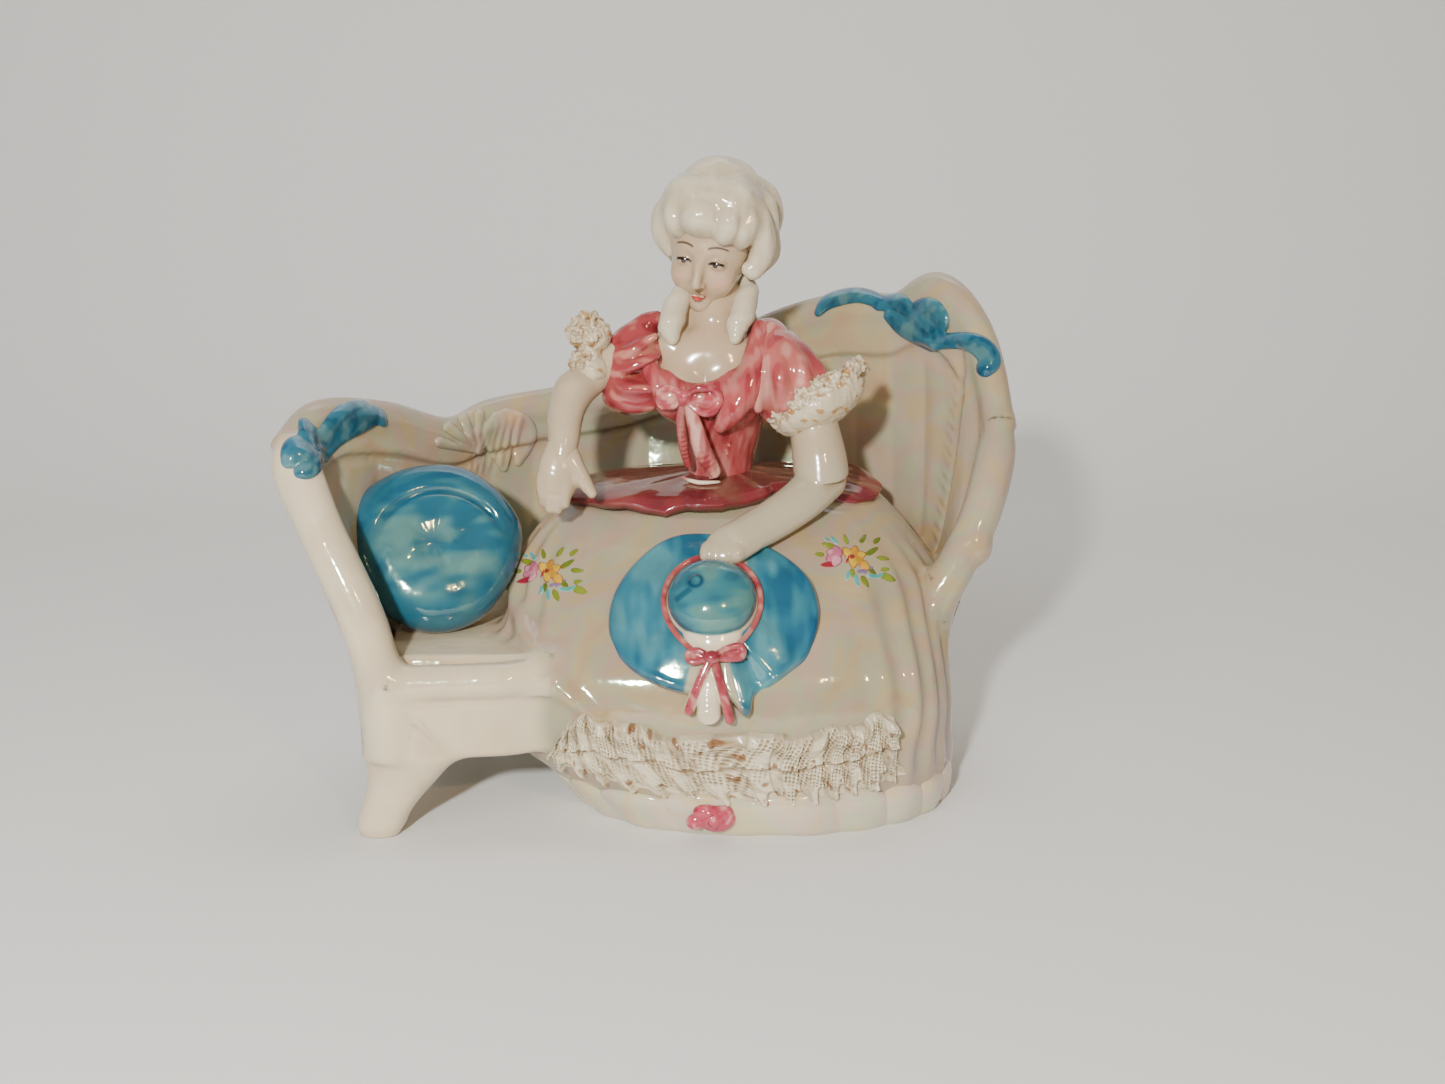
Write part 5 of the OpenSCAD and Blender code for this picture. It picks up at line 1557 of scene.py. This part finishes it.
hand = Clay([-27, -20, 53], [-9, -8, 71], 0.14)
hand.add(limb([[-18.6, -12.6, 68.0], [-18.9, -13.4, 65.0], [-19.6, -14.0, 62.0]], [3.0, 4.0, 3.9], 8,
              0.5, [0.2, -1, 0.4]))
for k, (tip, r) in enumerate((([-18.1, -15.2, 58.2], 1.35), ([-19.5, -15.4, 57.2], 1.4),
                              ([-20.9, -15.3, 57.3], 1.35), ([-22.1, -14.8, 58.4], 1.2))):
    root = np.array([-17.6 - 1.45 * k, -13.8, 62.4 + 0.2 * k])
    mid = (root + tip) / 2 + [-0.2, -0.5, 0]
    hand.add(limb([root, mid, tip], [r * 1.1, r, r * 0.75], 10), 0.6)
hand.add(limb([[-16.6, -12.8, 66.0], [-14.8, -13.8, 62.8], [-12.9, -14.4, 60.0]], [1.7, 1.6, 0.95], 10), 0.9)
sculpt("hand_left", "left_hand", SKIN_GLAZE, hand, flesh(0.4), 2)

arm = Clay([11, -29, 46], [42, 4, 82], 0.24)
arm.add(limb([[28.4, -2.6, 77], [30.0, -4.4, 70], [30.9, -6.2, 65.0], [31.3, -7.4, 60.4]],
             [4.7, 4.9, 5.3, 5.5], 12))
arm.d = np.maximum(arm.d, 62.4 + 0.2 * (arm.axes()[1] + 7) - arm.axes()[2])
arm.add(limb([[31.5, -7.2, 61.0], [27.1, -12.0, 58.0], [20.8, -17.0, 54.9], [14.8, -21.6, 52.8]],
             [4.7, 4.4, 4.1, 3.8], 14, 0.74, [0.1, -0.6, 0.8]), 0.3)
arm.soften(1)
sculpt("arm_right", "right_arm", SKIN_GLAZE, arm,
       flesh(lambda p: 0.4 + 0.6 * step(-p[:, 1] - 0.6 * (p[:, 2] - 62), 7.5, 9.5)))

hand = Clay([5, -33, 42], [25, -15, 59], 0.15)
hand.add(limb([[16.4, -20.6, 53.2], [13.6, -22.6, 52.2], [12.1, -23.6, 51.5]], [3.9, 4.1, 3.5], 8,
              0.55, [0, -0.7, 0.7]))
for k in range(4):
    root = np.array([9.0 + 1.9 * k, -23.8, 51.6])
    tip = root + [-0.3 + 0.1 * k, -1.5, -1.1]
    hand.add(limb([root, (root + tip) / 2 + [0, -0.1, 0.2], tip], [1.1, 1.1, 0.9], 10), 1.0)
sculpt("hand_right", "right_hand", SKIN_GLAZE, hand, flesh(0.8), 2)

# ---------------------------------------------------------------- floor, light and camera

floor_mesh = bpy.data.meshes.new("studio_sweep")
profile = [(-0.9, 0.0)] + [(0.2 + 0.2 * math.sin(a), 0.2 - 0.2 * math.cos(a))
                           for a in np.linspace(0, math.pi / 2, 24)] + [(0.4, 1.4)]
sweep_points = [(s * 1.6, py, pz) for s in (-1, 1) for py, pz in profile]
count = len(profile)
floor_mesh.from_pydata(sweep_points, [], [(k, k + count, k + count + 1, k + 1) for k in range(count - 1)])
floor_mesh.polygons.foreach_set("use_smooth", [True] * len(floor_mesh.polygons))
floor = bpy.data.objects.new("studio_sweep", floor_mesh)
bpy.context.scene.collection.objects.link(floor)
cloth = bpy.data.materials.new("pale_floor")
cloth.use_nodes = True
matt = cloth.node_tree.nodes["Principled BSDF"].inputs
matt["Base Color"].default_value = (0.72, 0.715, 0.69, 1)
matt["Roughness"].default_value = 0.8
floor_mesh.materials.append(cloth)


AIM = (0.0, 0.0, 0.05)
NEAR_WHITE = (1.0, 0.99, 0.97)


def area_light(name, place, size, watts, colour=NEAR_WHITE, aim=AIM):
    light = bpy.data.lights.new(name, "AREA")
    light.shape = "DISK"
    light.size = size
    light.energy = watts
    light.color = colour
    lamp = bpy.data.objects.new(name, light)
    bpy.context.scene.collection.objects.link(lamp)
    lamp.location = place
    lamp.rotation_euler = (Vector(aim) - Vector(place)).to_track_quat("-Z", "Y").to_euler()
    return lamp


area_light("key", (-0.10, -0.52, 0.27), 0.035, 4.5)
area_light("side_glint", (0.22, -0.50, 0.34), 0.02, 0.75, (1.0, 0.62, 0.3))
area_light("front_softbox", (-0.35, -0.7, 0.7), 0.6, 2.15).visible_glossy = False
area_light("top_softbox", (0.1, 0.2, 0.9), 0.6, 3.7, aim=(0.0, 0.8, 0.45)).visible_glossy = False
world = bpy.data.worlds.new("studio")
world.use_nodes = True
sky = world.node_tree.nodes["Background"].inputs
sky["Color"].default_value = (0.95, 0.97, 1.0, 1)
sky["Strength"].default_value = 0.2
bpy.context.scene.world = world

lens = bpy.data.cameras.new("photo_view")
lens.lens, lens.sensor_width = 40, 36
lens.clip_start = 0.01
camera = bpy.data.objects.new("photo_view", lens)
camera.location = (0.012, -0.31276, 0.13031)
camera.rotation_euler = (math.radians(75), 0, 0)
bpy.context.scene.collection.objects.link(camera)
bpy.context.scene.camera = camera
